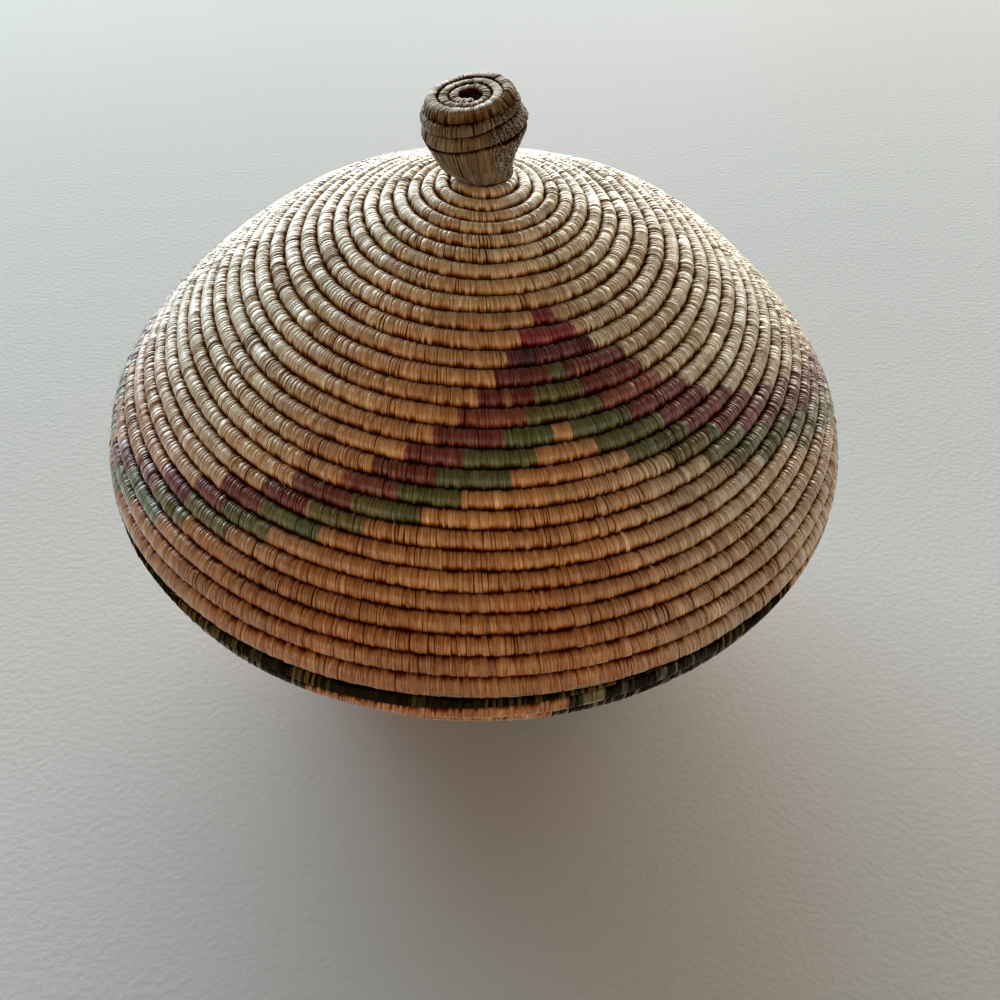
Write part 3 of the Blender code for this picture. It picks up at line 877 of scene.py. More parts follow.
        # each stitch is round across, and dives under its neighbours at both ends
        ends = maths("POWER", maths("ABSOLUTE", maths("SUBTRACT", maths("MULTIPLY", half, 2.0), 1.0)), 3.0)
        stitch = maths("MULTIPLY", maths("SUBTRACT", 1.0, maths("POWER", lie, 2.2)), maths("SUBTRACT", 1.0, ends))
        number = node("ShaderNodeCombineXYZ")
        link.new(maths("FLOOR", maths("MULTIPLY", wale, 2.0)), number.inputs[0])
        link.new(maths("FLOOR", course), number.inputs[1])
        chance = node("ShaderNodeTexWhiteNoise", noise_dimensions="2D")
        link.new(number.outputs[0], chance.inputs["Vector"])
        tone = ramp(chance.outputs["Value"], 0.0, 1.0, 0.72, 1.32)
        # the colour falls to a tenth between stitches: painted shade where each dives under its neighbours
        knit_gain = maths("MULTIPLY", ramp(stitch, 0.02, 0.5, 0.10, 1.05), tone)
        here = cell.outputs[2]
        keep = maths("SUBTRACT", 1.0, here)
        gain = maths("ADD", maths("MULTIPLY", gain, keep), maths("MULTIPLY", knit_gain, here))
        crown = maths("ADD", maths("MULTIPLY", crown, keep), maths("MULTIPLY", maths("MULTIPLY", stitch, 0.62), here))
    # the painted shade and grime of the grooves ends at its own place on each strand, which makes the grooves jagged
    reach = maths("ADD", cave, maths("MULTIPLY", maths("SUBTRACT", own, 0.5), 0.55))
    gain = maths("MULTIPLY", gain, ramp(reach, 0.20, 1.0, 1.0, groove_shade_and_dirt))
    # light that comes out of a gap has met the fibre more than once: darker is also redder
    tint = node("ShaderNodeCombineXYZ")
    link.new(gain, tint.inputs[0])
    link.new(maths("POWER", gain, 1.52), tint.inputs[1])
    link.new(maths("POWER", gain, 2.25), tint.inputs[2])
    scaled = node("ShaderNodeVectorMath", operation="MULTIPLY")
    link.new(dye, scaled.inputs[0])
    link.new(tint.outputs[0], scaled.inputs[1])
    brown = scaled.outputs[0]
    # bare patches show the long stems of the bundle
    stems = noise(vmul(fib, (0.10, 2.1, 2.1)), 2.0, 0.6)
    stem_tone = mix(ramp(stems, 0.35, 0.62, 0.0, 1.0), (0.10, 0.045, 0.016, 1.0), (0.52, 0.32, 0.15, 1.0))
    colour = mix(maths("MULTIPLY", worn, 0.85), brown, stem_tone)
    link.new(colour, shader.inputs["Base Color"])

    link.new(
        maths(
            "ADD",
            ramp(fine, 0.3, 0.7, rough + 0.08, rough - 0.07),
            maths("ADD", maths("MULTIPLY", reach, 0.25, True), maths("MULTIPLY", own, 0.10)),
        ),
        shader.inputs["Roughness"],
    )
    open_ = maths("POWER", maths("MULTIPLY", gain, 0.88, True), 2.6)
    deep = node("ShaderNodeRGBToBW")  # deeply dyed raffia has lost most of its gloss
    link.new(dye, deep.inputs[0])
    open_ = maths("MULTIPLY", open_, maths("MULTIPLY", deep.outputs[0], 13.0, True))
    link.new(maths("MULTIPLY", open_, specular), shader.inputs["Specular IOR Level"])
    shader.inputs["IOR"].default_value = 1.5
    link.new(maths("MULTIPLY", open_, coat), shader.inputs["Coat Weight"])
    # some strands are glossier than others
    gloss = maths("FRACT", maths("MULTIPLY", own, 7.3))
    link.new(maths("ADD", maths("MULTIPLY", gloss, 0.26), 0.24), shader.inputs["Coat Roughness"])
    shader.inputs["Coat IOR"].default_value = 1.38
    link.new(maths("MULTIPLY", open_, sheen), shader.inputs["Sheen Weight"])
    shader.inputs["Sheen Roughness"].default_value = 0.42
    shader.inputs["Sheen Tint"].default_value = (1.0, 0.96, 0.88, 1.0)

    height = maths("ADD", maths("MULTIPLY", fine, 0.070 * bump), maths("MULTIPLY", finer, 0.055 * bump))
    height = maths("SUBTRACT", height, maths("MULTIPLY", maths("MULTIPLY", worn, stems), 0.28))
    if crown is not None:
        height = maths("ADD", height, maths("MULTIPLY", crown, maths("SUBTRACT", 1.0, worn)))
    made = node("ShaderNodeBump")
    made.inputs["Strength"].default_value = 1.0
    made.inputs["Distance"].default_value = 0.001
    link.new(height, made.inputs["Height"])
    link.new(made.outputs[0], shader.inputs["Normal"])
    return mat


natural = fibre_material("raffia_natural_wrap")
knob_wrap = fibre_material("raffia_knob_wrap", bump=1.4, rough=0.48, sheen=1.0, fine_gain=(0.70, 1.26), specular=0.4, coat=0.3, knit=True)
dark_wrap = fibre_material("raffia_dark_wrap", rough=0.58, sheen=0.0, fine_gain=(0.6, 1.35), coat=0.0, specular=0.16)
grass = fibre_material(
    "grass_bundle_ends", rough=0.7, sheen=0.1, fine_gain=(0.6, 1.3), plain=tuple(srgb(112, 88, 52))
)
loose = fibre_material(
    "raffia_loose_fibre", rough=0.45, sheen=0.3, bump=0.4, plain=tuple(srgb(226, 192, 146))
)


def paint(item, mat, body, slot, *nodes):
    item.data.materials.clear()
    item.data.materials.append(mat)
    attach(item, body)
    if nodes:
        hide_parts(*nodes)
    return item


# ------------------------------------------------------------------ lid and bowl
LID_NODES = ["lid_coil_01_start"] + ["lid_coil_%02d" % i for i in range(2, 11)] + ["lid_coil_11_edge"]
BOWL_NODES = (
    ["bowl_rim_round"]
    + ["bowl_wall_coil_%02d" % i for i in range(1, 8)]
    + ["bowl_base_edge_coil", "bowl_base_coil_outer", "bowl_base_coil_inner"]
)


def lid_turns(s):
    return np.interp(s, lid_s, lid_u)


def bowl_turns(s):
    return np.interp(s, bowl_s, bowl_u)


def strand_cuts(gaps, turns, lengths, cuts, count):
    """Number of the strand where each length of coil starts, and the end."""
    inner = [int(np.searchsorted(gaps, np.interp(c, turns, lengths))) for c in cuts]
    return inner + [count]


lid_shape = coil_shape("lid", lid_turns)
bowl_shape = coil_shape("bowl", bowl_turns)

cuts = strand_cuts(lid_gaps, lid_u, lid_s, LID_CUTS[:-1], lid_strands.count)
piece = wrapped("lid_raffia_centre", lid_strands, lid_shape, lid_colours, 0, cuts[0])
paint(piece, natural, "lid", "raffia_natural", "lid_centre_round")
for i, node_name in enumerate(LID_NODES):
    piece = wrapped(
        "lid_raffia_%02d" % (i + 1), lid_strands, lid_shape, lid_colours, cuts[i], cuts[i + 1]
    )
    paint(piece, natural, "lid", "raffia_natural", node_name)

cuts = strand_cuts(bowl_gaps, bowl_u, bowl_s, (BOWL_FIRST,) + BOWL_CUTS[1:], bowl_strands.count)
for i, node_name in enumerate(BOWL_NODES):
    piece = wrapped(
        node_name.replace("bowl_", "bowl_raffia_"),
        bowl_strands,
        bowl_shape,
        bowl_colours,
        cuts[i],
        cuts[i + 1],
    )
    paint(
        piece,
        dark_wrap if i == 0 else natural,
        "bowl",
        "raffia_dark_green" if i == 0 else "raffia_natural",
        node_name,
    )
piece = wrapped(
    "bowl_raffia_base_start", bowl_strands, bowl_shape, bowl_colours, cuts[-2], cuts[-1]
)
paint(piece, natural, "bowl", "raffia_natural")


def turned(name, outline, count, scallops=0, depth=0.0, matrix=None):
    """A solid turned from (radius, height) corners, its side fluted like a bundle of stems."""
    outline = np.array(outline, float)
    turn = np.arange(count) / count * TAU
    flute = 1.0 - depth * (1.0 - np.abs(np.cos(0.5 * scallops * turn))) if scallops else np.ones(count)
    r = outline[1:-1, 0][None, :] * flute[:, None]
    z = np.broadcast_to(outline[1:-1, 1][None, :], r.shape)
    points = np.stack([r * np.sin(turn)[:, None], -r * np.cos(turn)[:, None], z], axis=-1)
    rows = points.shape[1]
    points = np.concatenate(
        [points.reshape(-1, 3), [[0.0, 0.0, outline[0, 1]], [0.0, 0.0, outline[-1, 1]]]]
    )
    quads, tris = [], []
    for i in range(count):
        a, b = i * rows, ((i + 1) % count) * rows
        for j in range(rows - 1):
            quads.append((a + j, b + j, b + j + 1, a + j + 1))
        tris.append((count * rows, b, a))
        tris.append((count * rows + 1, a + rows - 1, b + rows - 1))
    radius = np.hypot(points[:, 0], points[:, 1])
    angle = np.arctan2(points[:, 0], -points[:, 1])
    fib = np.stack([angle * np.maximum(radius, 2.0), points[:, 2], radius], axis=-1)
    zero = np.zeros(len(points))
    return make_mesh(
        name,
        points,
        [np.array(quads), np.array(tris)],
        face_data={"own": np.full(len(quads) + len(tris), 0.5)},
        point_data={"fib": fib, "cave": zero, "worn": zero},
        matrix=matrix,
    )


# the small button under the first wraps, in the middle of the base
button = turned(
    "bowl_base_button",
    ((0, 0.5), (3.0, 0.5), (4.6, 0.9), (5.2, 2.0), (5.2, 3.6), (4.4, 4.4), (0, 4.5)),
    36,
    12,
    0.06,
)
paint(button, grass, "bowl", "grass_bundle", "bowl_base_start")


# ------------------------------------------------------------------ collar
def ring_shape(radius, height, half, depth, seed, slant_of=None, weave_of=None, wobble=(0.25, 0.2), lean=0.0):
    """A round that closes on itself: radius and height of its middle, half its height, half its depth."""
    length = TAU * (radius + depth)
    in_out = wander(seed, length, 9.0, wobble[0], closed=True)
    up_down = wander(seed + 1, length, 11.0, wobble[1], closed=True)

    def shape(s, lift, spread, slant, ridge, strands):
        x, y = section(2.2)
        out = depth + in_out(s)
        mid = radius + 0.4 * in_out(s)
        phi = (s / length * TAU)[:, None]
        tilt = np.tan(slant)[:, None]
        if slant_of is not None:
            tilt = tilt + slant_of(phi)
        phi = phi + tilt * x[None, :] * half / (radius + depth)
        zz = height + up_down(s)[:, None] + half * x[None, :] * spread[:, None]
        dn = lift[:, None] * np.sign(y)[None, :] * np.abs(y)[None, :] ** 0.5
        if weave_of is not None:
            dn = dn + weave_of(phi, zz, s[:, None]) * np.clip(y, 0.0, 1.0)[None, :]
            dn = dn + lopsided(phi, zz) * np.clip(y + 0.4, 0.0, 1.0)[None, :]
        r = mid[:, None] + out[:, None] * y[None, :] + dn + lean * (zz - height)
        points = np.stack([r * np.sin(phi), -r * np.cos(phi), zz], axis=-1)
        fib = np.stack(
            [
                np.broadcast_to(s[:, None], r.shape),
                np.broadcast_to((half * x)[None, :], r.shape),
                out[:, None] * y[None, :],
            ],
            axis=-1,
        )
        # painted shade, with some grime, towards the round's edges where it meets its neighbours, and in the gaps
        # between strands
        outer = np.clip((np.abs(x) - 0.62) / 0.34, 0.0, 1.0) ** 1.3
        cave = np.maximum(outer[None, :], gap_shade_and_dirt(ridge)[:, None])
        return points, fib, cave, np.zeros_like(r)

    return shape, length


low = COLLAR_TOP - 2.0 * COLLAR_ROUND
for k, (label, z0, outer) in enumerate(
    (("lower", low, COLLAR_OUTER), ("upper", low + COLLAR_ROUND, COLLAR_OUTER - COLLAR_LEAN))
):
    depth = 0.5 * COLLAR_THICK - 0.15
    shape, length = ring_shape(
        outer - 0.5 * COLLAR_THICK - 0.1,
        BOWL_HEIGHT + z0 + 0.5 * (COLLAR_ROUND - 0.3),
        0.5 * COLLAR_ROUND,
        depth,
        31 + 4 * k,
        wobble=(0.05, 0.10),
    )
    strands = Strands(strand_gaps(length, 41 + k, mean=1.5), 43 + k)
    tints = strand_colours(strands, lambda u: "", strands.middle)
    piece = wrapped("bowl_raffia_collar_" + label, strands, shape, tints, closed=True)
    paint(piece, natural, "bowl", "raffia_natural", "bowl_collar_" + label)


# ------------------------------------------------------------------ knob
knob_frame = Matrix.Translation((KNOB_OFFSET, 0.0, BOWL_HEIGHT + KNOB_FOOT)) @ Matrix.Rotation(
    math.radians(-KNOB_LEAN), 4, "Y"
)


def right_side(phi):
    """1 on the knob's right, where the wraps cross each other, 0 on the rest."""
    turn = (phi - math.radians(78.0) + math.pi) % TAU - math.pi
    return smooth((math.radians(62.0) - np.abs(turn)) / math.radians(30.0))


def left_side(phi):
    """1 on the knob's left, 0 on its right."""
    return smooth(0.5 - 0.75 * np.sin(phi))


def crossed(phi, z, s):
    """Relief of the crossed wraps."""
    return right_side(phi) * 0.18 * np.sin(TAU * z / 2.5 + s * 2.4)


def lopsided(phi, z):
    """The knob isn't round: how far it stands out on its right and on its left at each height."""
    right = np.interp(z, (0, 3.2, 7, 11, 15, 17.5, 19.5, 23, 26), (2.7, 0.5, -0.5, 0.1, 1.6, 1.2, -0.2, -0.9, -0.9))
    left = np.interp(z, (0, 3.2, 7, 11, 16.5, 17.5, 19.2, 21.5, 23, 26), (0.3, 0.5, 1.4, 1.1, 1.7, 1.6, 0.6, 0.4, -0.2, -0.3))
    return right_side(phi) * right + left_side(phi) * left


def slanted(phi):
    return 0.30 * right_side(phi)


def stitched(phi, z):
    """How far the crossed stitches cover the knob's side: 1 on the right, fading into the plain wraps."""
    turn = np.degrees((phi + math.pi) % TAU - math.pi)
    edge = 17.0 + 30.0 * (1.0 - smooth(z / 9.0)) + 16.0 * smooth((z - 22.5) / 3.0) + 4.0 * np.sin(0.9 * z)
    return smooth((turn - edge) / 7.0) * smooth((150.0 - turn) / 10.0)


def knob_colours(strands, seed):
    rng = np.random.default_rng(seed)
    tone = 0.16 * strands.tone + 0.05 * rng.normal(0.0, 1.0, strands.count)
    base = KNOB_TONE[None, :] * np.exp(tone)[:, None]
    hue = strands.hue[:, None]
    return np.clip(base * (1.0 + hue * np.array([[0.03, 0.0, -0.06]])), 0.01, 0.9)


inner = HEAD_RADIUS - 4.9
for k, (label, z0, z1, radius) in enumerate(
    (
        ("lower", HEAD_LEVELS[0], HEAD_LEVELS[1], HEAD_RADIUS + 0.3),
        ("upper", HEAD_LEVELS[1], HEAD_LEVELS[2] - 0.4, HEAD_RADIUS + 0.2),
    )
):
    outer = radius + HEAD_CREST + 0.1
    shape, length = ring_shape(
        0.5 * (outer + inner),
        0.5 * (z0 + z1),
        0.5 * (z1 - z0) + 0.06,
        0.5 * (outer - inner),
        51 + 4 * k,
        slant_of=slanted,
        weave_of=crossed,
        wobble=(0.20, 0.18),
        lean=0.03 if k == 0 else -0.05,
    )
    strands = Strands(strand_gaps(length, 61 + k, mean=1.02, low=0.6, high=1.8), 63 + k, relief=1.5)
    piece = wrapped(
        "knob_raffia_%s_round" % label,
        strands,
        shape,
        knob_colours(strands, 65 + k),
        closed=True,
        around=16.0,
        matrix=knob_frame,
        knit=stitched,
    )
    paint(piece, knob_wrap, "lid", "raffia_knob", "knob_%s_round" % label)

# stem: a cup of wraps that run down into the lid
stem_curve = Curve(STEM)


def stem_shape(s, lift, spread, slant, ridge, strands):
    level = np.linspace(0.0, 4.0, 15)
    r, z = stem_curve.at(level)
    wall = np.array([r[0] - 1.6] + [max(CORE_RADIUS + 0.3, v - STEM_WALL + 0.35) for v in r[4::5]])
    ri = np.concatenate([r, wall[::-1]])
    zi = np.concatenate([z, [z[-1]], z[4::5][:-1][::-1], [0.0]])
    out = np.concatenate([np.ones(len(r)), np.zeros(len(wall))])
    length = TAU * HEAD_RADIUS
    phi = (s / length * TAU)[:, None] + np.zeros(len(ri))[None, :]
    run = (zi / STEM[-1][2] - 0.5)[None, :]
    phi = phi + (np.tan(slant)[:, None] * 0.8 + 0.15 * right_side(phi)) * run
    dn = (lift[:, None] + crossed(phi, zi[None, :], s[:, None])) * out[None, :]
    fade = 0.35 + 0.65 * (ri / HEAD_RADIUS)[None, :]
    rr = ri[None, :] + dn * fade + lopsided(phi, zi[None, :]) * out[None, :]
    points = np.stack([rr * np.sin(phi), -rr * np.cos(phi), np.broadcast_to(zi[None, :], rr.shape)], axis=-1)
    fib = np.stack(
        [
            np.broadcast_to(s[:, None], rr.shape),
            np.broadcast_to(zi[None, :], rr.shape),
            np.broadcast_to(ri[None, :], rr.shape),
        ],
        axis=-1,
    )
    # painted shade, with some grime, where the wraps run in under the head and into the lid, and in the gaps between
    # strands
    ends = np.maximum(np.clip((zi - STEM[-1][2] + 1.3) / 1.3, 0, 1), np.clip((1.2 - zi) / 1.6, 0, 1)) * out
    cave = np.maximum(ends[None, :], gap_shade_and_dirt(ridge)[:, None] * 1.1)
    return points, fib, np.clip(cave, 0, 1), np.zeros_like(rr)


strands = Strands(strand_gaps(TAU * HEAD_RADIUS, 71, mean=1.3, low=0.8, high=2.2), 72, relief=2.0)
piece = wrapped(
    "knob_raffia_stem",
    strands,
    stem_shape,
    knob_colours(strands, 73),
    closed=True,
    around=36.0,
    matrix=knob_frame,
    knit=stitched,
)
paint(piece, knob_wrap, "lid", "raffia_knob", "knob_stem_wrap")

# top: a flat coil that winds in to a small hole
def rounds_in(turn):
    """How many rounds the flat coil has moved in: it keeps its radius, then steps inwards."""
    whole = np.floor(turn)
    return whole + smooth((turn - whole - 1.0 + SPIRAL_STEP) / SPIRAL_STEP)


def spiral_band(turn):
    """Outer radius and width of the flat coil; its end thins out where it is laid along the first round."""
    end = turn < 0.0
    outer = SPIRAL_RADIUS - SPIRAL_PITCH * np.where(end, 0.0, rounds_in(np.maximum(turn, 0.0)))
    return outer, SPIRAL_PITCH * np.where(end, np.maximum(rounds_in(np.maximum(turn + 1.0, 0.0)), 0.10), 1.0)


t = np.linspace(0.04 - SPIRAL_STEP, SPIRAL_TURNS, 2001)
band = spiral_band(t)
mid = band[0] - 0.5 * band[1]
spiral_s = np.concatenate([[0.0], np.cumsum(0.5 * (mid[1:] + mid[:-1]) * TAU * np.diff(t))])
spiral_t = t
spiral_rise = wander(81, spiral_s[-1], 6.0, 0.16)
spiral_sway = wander(82, spiral_s[-1], 7.0, 0.14)


def spiral_shape(s, lift, spread, slant, ridge, strands):
    turn = np.interp(s, spiral_s, spiral_t)
    # the outermost round is square where its top meets its side
    square = smooth((1.0 - turn) / 0.2)[:, None]
    (x, y), (x1, y1) = section(2.7), section(5.0)
    across, y = x[None, :] + (x1 - x)[None, :] * square, y[None, :] + (y1 - y)[None, :] * square
    start, end = smooth((turn + SPIRAL_STEP) / 0.20), smooth((SPIRAL_TURNS - turn) / 0.05)
    outer, width = spiral_band(turn)
    width = 0.5 * width * (0.45 + 0.55 * end)
    mid = outer - width
    # the outer round stands a little lower than its edge line, the inner ones sink towards the hole
    top = SPIRAL_TOP + 0.10 + 0.6 * spiral_rise(s) - 0.22 * np.clip(turn - 1.0, 0.0, 2.0)
    top = top - 1.2 * (1.0 - start) - 0.9 * (1.0 - end)
    bottom = SPIRAL_BOTTOM - 0.8 * square[:, 0]
    half = 0.5 * (top - bottom)
    zc = 0.5 * (top + bottom)
    angle = math.radians(SPIRAL_START) + TAU * turn
    phi = angle[:, None] - np.tan(slant)[:, None] * across * width[:, None] / np.maximum(
        mid[:, None], 3.0
    )
    r = mid[:, None] + (across * width[:, None]) * spread[:, None] + 0.5 * spiral_sway(s)[:, None]
    # it widens downwards, and so meets the round below
    r = r + square * np.clip(across, 0.0, 1.0) * (0.95 - 0.95 * y)
    r = r + square * np.clip(across, 0.0, 1.0) * lift[:, None]
    r = np.maximum(r, 0.6)
    z = zc[:, None] + half[:, None] * y + lift[:, None] * (y > 0)
    points = np.stack([r * np.sin(phi), -r * np.cos(phi), z], axis=-1)
    fib = np.stack(
        [np.broadcast_to(s[:, None], r.shape), across * width[:, None], half[:, None] * y],
        axis=-1,
    )
    # painted shade, with some grime, in the grooves between the rounds
    outer_shade_and_dirt = np.clip((np.abs(across) - 0.55) / 0.36, 0.0, 1.0) * (y > -0.55)
    # the outside of the outermost round faces the light, so only its foot gets painted shade
    free = (turn[:, None] < 1.0) & (across > 0.0)
    foot = np.maximum(np.clip((-0.35 - y) / 0.5, 0.0, 1.0), 0.52 * smooth((0.75 - y) / 0.5))
    cave = np.maximum(np.where(free, foot, outer_shade_and_dirt), gap_shade_and_dirt(ridge)[:, None])
    return points, fib, cave, np.zeros_like(r)


strands = Strands(
    strand_gaps(spiral_s[-1], 83, mean=1.05, low=0.65, high=1.9), 84, relief=1.2
)
# the top coil's colours are raised 1.15 times, and on its inner rounds, which make the upward face, 1.52 times in all:
# painted light on that face
piece = wrapped(
    "knob_raffia_top",
    strands,
    spiral_shape,
    knob_colours(strands, 85) * (1.15 + 0.37 * smooth((np.interp(strands.middle, spiral_s, spiral_t) - 0.9) / 0.2))[:, None],
    around=13.0,
    matrix=knob_frame,
)
paint(piece, knob_wrap, "lid", "raffia_knob", "knob_top_spiral")

core = turned(
    "knob_grass_core",
    (
        (0.0, -5.5),
        (3.6, -5.6),
        (CORE_RADIUS, -5.0),
        (CORE_RADIUS, 0.6),
        (6.4, 3.2),
        (9.0, 7.0),
        (10.8, 11.0),
        (11.8, 16.5),
        (HEAD_RADIUS - 4.9, HEAD_LEVELS[0] + 0.6),
        (HEAD_RADIUS - 4.9, HEAD_LEVELS[2] - 0.5),
        (3.4, HEAD_LEVELS[2] - 0.5),
        (2.6, 17.0),
        (0.0, 16.0),
    ),
    112,
    16,
    0.07,
    matrix=knob_frame,
)
paint(core, grass, "lid", "grass_bundle", "knob_core")


# ------------------------------------------------------------------ loose fibres
def lid_point(u, f=0.5, off=CREST):
    """Place on the lid's coil, its outward direction and the direction along the coil."""
    at = lid_level(np.array(u + f), np.array(u))
    r, z = LID.at(at)
    nr, nz = LID.normal(at)
    phi = TAU * u
    off = off + float(lid_swell(at, phi))
    out = np.array([nr * math.sin(phi), -nr * math.cos(phi), nz], float)
    along = np.array([math.cos(phi), math.sin(phi), 0.0])
    p = np.array([r * math.sin(phi), -r * math.cos(phi), z + BOWL_HEIGHT], float)
    return p + out * off, out, along, np.cross(out, along)


def hairs(name, lines, radii):
    """Thin round fibres along lines of points, as one piece."""
    sides = 5
    points, quads, tri_ends, fibs, owns = [], [], [], [], []
    base, run = 0, 0.0
    for line, radius in zip(lines, radii):
        line = np.asarray(line, float)
        n = len(line)
        tangent = np.gradient(line, axis=0)
        tangent /= np.maximum(np.linalg.norm(tangent, axis=1), 1e-9)[:, None]
        side = np.cross(tangent, [0.13, 0.27, 0.95])
        side /= np.maximum(np.linalg.norm(side, axis=1), 1e-9)[:, None]
        up = np.cross(side, tangent)
        taper = radius * (1.0 - 0.65 * np.linspace(0.0, 1.0, n) ** 2)
        turn = TAU * np.arange(sides) / sides
        ring = (
            line[:, None, :]
            + taper[:, None, None]
            * (np.cos(turn)[None, :, None] * side[:, None, :] + np.sin(turn)[None, :, None] * up[:, None, :])
        )
        faces = turned_out(ring.reshape(-1, 3), tube_faces(n, sides, False))
        points.append(ring.reshape(-1, 3))
        quads.append(faces[0] + base)
        tri_ends.append(faces[1] + base)
        along = np.concatenate([[0.0], np.cumsum(np.linalg.norm(np.diff(line, axis=0), axis=1))])
        fibs.append(
            np.stack(
                [
                    np.broadcast_to((radius * turn)[None, :], (n, sides)),
                    np.broadcast_to(along[:, None], (n, sides)),
                    np.full((n, sides), run),
                ],
                axis=-1,
            ).reshape(-1, 3)
        )
        owns.append(np.full(len(faces[0]), (run * 0.37) % 1.0))
        base += n * sides
        run += 3.1
    quads, ends = np.concatenate(quads), np.concatenate(tri_ends)
    owns = np.concatenate(owns + [np.full(len(ends), 0.5)])
    points = np.concatenate(points)
    zero = np.zeros(len(points))
    return make_mesh(
        name,
        points,
        [quads, ends],
        face_data={"own": owns},
        point_data={"fib": np.concatenate(fibs), "cave": zero, "worn": zero},
    )


def whisker(start, out, along, down, length, rng, curl=1.0, rise=0.4):
    """A fibre that leaves the surface and bends over."""
    n = 9
    side = rng.normal(0.0, 0.6)
    direction = along * rng.choice([-1.0, 1.0]) * rng.uniform(0.2, 1.0) + down * side + out * rise
    direction /= np.linalg.norm(direction)
    bend = rng.normal(0.0, 1.0, 3) * 0.5 * curl - out * 0.25
    step = length / (n - 1)
    p, line = np.array(start, float), []
    for i in range(n):
        line.append(p.copy())
        p = p + direction * step
        direction = direction + bend * step / length * 1.1
        direction /= np.linalg.norm(direction)
    return np.array(line)


rng = np.random.default_rng(77)
lines, radii = [], []
for _ in range(520):
    u = 27.55 * math.sqrt(rng.uniform(0.02, 1.0))
    p, out, along, down = lid_point(u, rng.uniform(0.1, 0.9), 0.75)
    lines.append(whisker(p, out, along, down, 0.8 + 3.0 * rng.random() ** 2.5, rng, 1.6, rng.uniform(0.1, 0.5)))
    radii.append(rng.uniform(0.03, 0.06))
for _ in range(170):  # a fringe along the left outline
    u = rng.integers(19, 28) - rng.uniform(0.20, 0.36)
    p, out, along, down = lid_point(u, rng.uniform(0.1, 0.9), 0.8)
    lines.append(whisker(p, out, along, down, rng.uniform(1.0, 3.6), rng, 1.4, rng.uniform(0.4, 1.0)))
    radii.append(rng.uniform(0.035, 0.075))
# tufts at the left edge, at the right edge and where the lid's last round runs out
for turn, spread_, count, longest in (
    (-0.262, 0.03, 16, 6.0),
    (-0.215, 0.04, 12, 4.5),
    (-0.160, 0.02, 18, 5.5),
    (0.235, 0.03, 10, 4.0),
    (0.35, 0.05, 12, 4.0),
    (-0.36, 0.05, 14, 5.0),
):
    for _ in range(count):
        u = (27.0 if turn > -0.17 else 27.0) + turn + rng.normal(0.0, spread_)
        u = min(u, LID_END + 0.02)
        u -= rng.integers(0, 3)
        p, out, along, down = lid_point(u, rng.uniform(0.2, 0.9), 0.6)
        lines.append(whisker(p, out, along, down, rng.uniform(1.5, longest), rng, 1.2, rng.uniform(0.2, 0.9)))
        radii.append(rng.uniform(0.04, 0.085))


def loop_on(u, f, size, turns, tilt, lift=0.5, n=16):
    """A fibre that lies on the lid in a bow."""
    p, out, along, down = lid_point(u, f, CREST * 0.8)
    angle = np.linspace(-0.1, turns * TAU, n)
    line = [
        p
        + along * size * math.cos(a + tilt)
        + down * size * 0.7 * math.sin(a + tilt)
        + out * (lift * (0.3 + 0.7 * math.sin(math.pi * i / (n - 1))))
        for i, a in enumerate(angle)
    ]
    return np.array(line)


# the bow at the lower right of the front, and the twisted knot at the left
lines.append(loop_on(26.066, 0.35, 1.9, 0.55, 3.2, 0.7))
radii.append(0.10)
lines.append(loop_on(26.070, 0.30, 1.2, 0.5, 3.5, 0.8))
radii.append(0.07)
for k in range(5):
    lines.append(loop_on(22.795 + 0.001 * k, 0.45 + 0.05 * k, 1.3 - 0.12 * k, 0.7, 0.4 * k, 0.9))
    radii.append(0.11)
for _ in range(26):  # on the knob
    phi = rng.uniform(0.0, TAU)
    z = rng.uniform(2.0, 27.0)
    r = float(stem_curve.at(np.array(np.interp(z, [k[2] for k in STEM], [k[0] for k in STEM])))[0])
    r = r if z < STEM[-1][2] else HEAD_RADIUS + 0.8
    out = np.array([math.sin(phi), -math.cos(phi), 0.0])
    along = np.array([math.cos(phi), math.sin(phi), 0.0])
    local = whisker(out * r + np.array([0, 0, z]), out, along, np.array([0, 0, -1.0]), rng.uniform(1.0, 3.0), rng, 1.4, 0.5)
    m = np.array(knob_frame)
    lines.append(local @ m[:3, :3].T + m[:3, 3])
    radii.append(rng.uniform(0.035, 0.06))
piece = hairs("lid_loose_fibres", lines, radii)
paint(piece, loose, "lid", "raffia_natural")

lines, radii = [], []
for _ in range(90):
    u = rng.uniform(0.1, 14.0)
    at = np.array(bowl_level(np.array(u + 0.5), np.array(u)))
    r, z = BOWL.at(at)
    nr, nz = BOWL.normal(at)
    phi = -TAU * u
    r = r + float(bowl_swell(at, phi))
    out = np.array([nr * math.sin(phi), -nr * math.cos(phi), nz], float)
    along = np.array([math.cos(phi), math.sin(phi), 0.0])
    p = np.array([r * math.sin(phi), -r * math.cos(phi), z + BOWL_HEIGHT], float) + out * 0.7
    lines.append(
        whisker(p, out, along, np.cross(out, along), rng.uniform(1.2, 3.5), rng, 1.4, rng.uniform(0.1, 0.5))
    )
    radii.append(rng.uniform(0.035, 0.07))
piece = hairs("bowl_loose_fibres", lines, radii)
paint(piece, loose, "bowl", "raffia_natural")


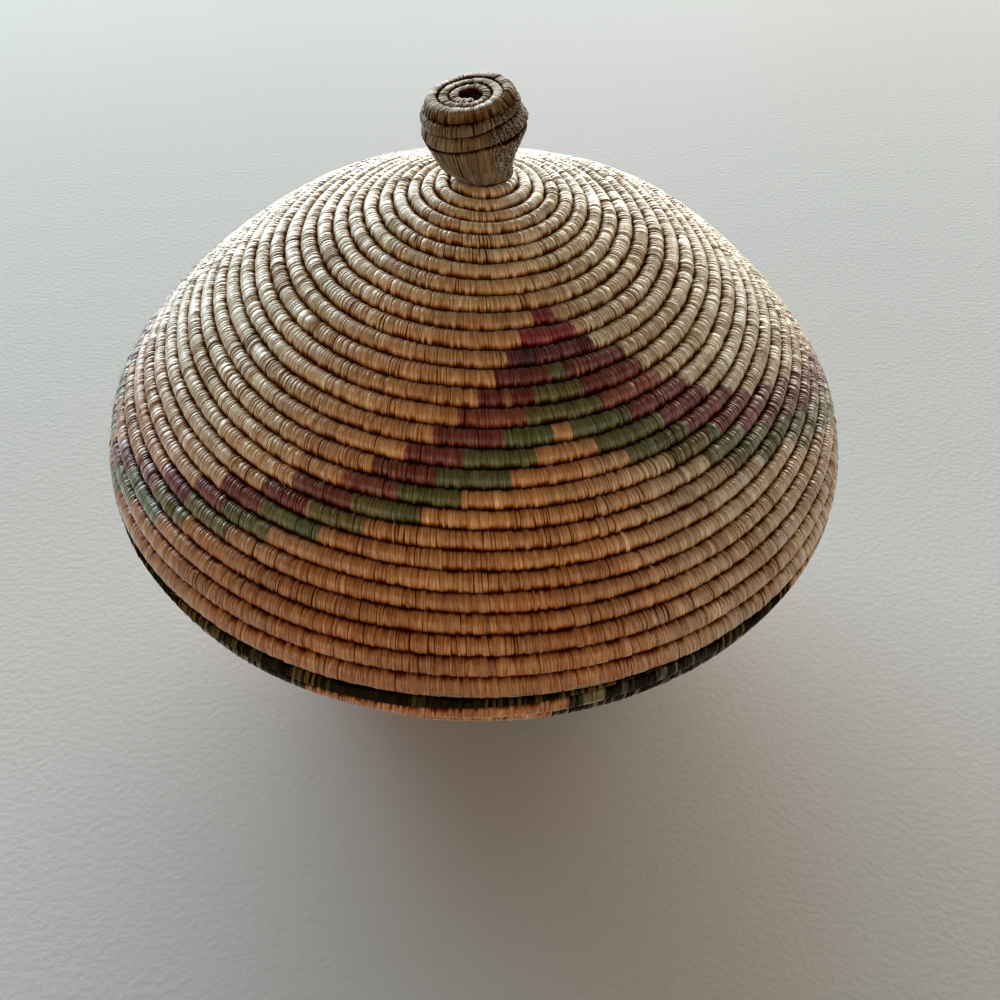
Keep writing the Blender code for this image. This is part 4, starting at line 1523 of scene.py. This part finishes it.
# ------------------------------------------------------------------ floor, light, camera
def floor_material():
    mat = bpy.data.materials.new("pale_table")
    mat.use_nodes = True
    nt = mat.node_tree
    shader = nt.nodes["Principled BSDF"]
    shader.inputs["Base Color"].default_value = (0.735, 0.742, 0.75, 1.0)
    shader.inputs["Roughness"].default_value = 0.42
    shader.inputs["Specular IOR Level"].default_value = 0.03
    coords = nt.nodes.new("ShaderNodeTexCoord")
    noise = nt.nodes.new("ShaderNodeTexNoise")
    noise.inputs["Scale"].default_value = 420.0
    noise.inputs["Detail"].default_value = 2.0
    nt.links.new(coords.outputs["Object"], noise.inputs["Vector"])
    bump = nt.nodes.new("ShaderNodeBump")
    bump.inputs["Strength"].default_value = 0.3
    bump.inputs["Distance"].default_value = 0.0006
    nt.links.new(noise.outputs["Fac"], bump.inputs["Height"])
    nt.links.new(bump.outputs[0], shader.inputs["Normal"])
    return mat


me = bpy.data.meshes.new("floor")
me.from_pydata([(-6, -4, 0), (6, -4, 0), (6, 9, 0), (-6, 9, 0)], [], [(0, 1, 2, 3)])
floor = bpy.data.objects.new("floor", me)
bpy.context.scene.collection.objects.link(floor)
floor.data.materials.append(floor_material())


def area(name, azimuth, elevation, distance, size, power, colour, target=(0.0, 0.0, 0.08)):
    """azimuth: 0 is straight behind the basket, positive to the right."""
    lamp = bpy.data.lights.new(name, "AREA")
    lamp.shape = "RECTANGLE"
    lamp.size, lamp.size_y = size
    lamp.energy = power
    lamp.color = colour
    item = bpy.data.objects.new(name, lamp)
    az, el = math.radians(azimuth), math.radians(elevation)
    target = Vector(target)
    item.location = target + distance * Vector(
        (math.sin(az) * math.cos(el), math.cos(az) * math.cos(el), math.sin(el))
    )
    item.rotation_euler = (target - item.location).to_track_quat("-Z", "Y").to_euler()
    bpy.context.scene.collection.objects.link(item)
    return item


# a long band of low windows behind the basket, and weaker light from behind the camera
area("windows_left", -35.0, 15.5, 9.0, (5.4, 4.2), 830.0, (0.72, 0.90, 0.98))
area("windows_middle", -3.0, 15.0, 9.0, (4.9, 4.2), 640.0, (1.0, 1.0, 0.98))
area("windows_right", 27.0, 11.0, 9.0, (4.9, 3.4), 420.0, (1.0, 0.97, 0.82))
area("room_left", -142.0, 14.0, 3.0, (1.9, 1.1), 15.0, (1.0, 0.84, 0.66))
area("room_right", 145.0, 16.0, 3.0, (2.2, 1.2), 13.5, (1.0, 0.76, 0.50))
area("side_right", 92.0, 16.0, 4.0, (2.4, 1.5), 15.0, (0.76, 0.90, 1.0))

world = bpy.data.worlds.new("room")
world.use_nodes = True
world.node_tree.nodes["Background"].inputs["Color"].default_value = (1.0, 0.84, 0.62, 1.0)
world.node_tree.nodes["Background"].inputs["Strength"].default_value = 0.10
bpy.context.scene.world = world

RIM = 0.13
cam = bpy.data.cameras.new("camera")
cam.lens, cam.sensor_width, cam.sensor_fit = 46.8, 36.0, "HORIZONTAL"
cam.clip_start, cam.clip_end = 0.02, 50.0
camera = bpy.data.objects.new("camera", cam)
yaw, pitch, roll = 0.0260, 0.7469, 0.0323
forward = Vector((math.sin(yaw) * math.cos(pitch), math.cos(yaw) * math.cos(pitch), -math.sin(pitch)))
right0 = Vector((math.cos(yaw), -math.sin(yaw), 0.0))
up0 = right0.cross(forward)
right = math.cos(roll) * right0 + math.sin(roll) * up0
up = -math.sin(roll) * right0 + math.cos(roll) * up0
place = Matrix((right, up, -forward)).transposed().to_4x4()
place.translation = (0.0, -2.8555 * RIM, BOWL_HEIGHT * 0.001 + 2.3359 * RIM)
camera.matrix_world = place
bpy.context.scene.collection.objects.link(camera)
bpy.context.scene.camera = camera
bpy.context.scene.view_settings.view_transform = "Standard"

bpy.context.view_layer.update()
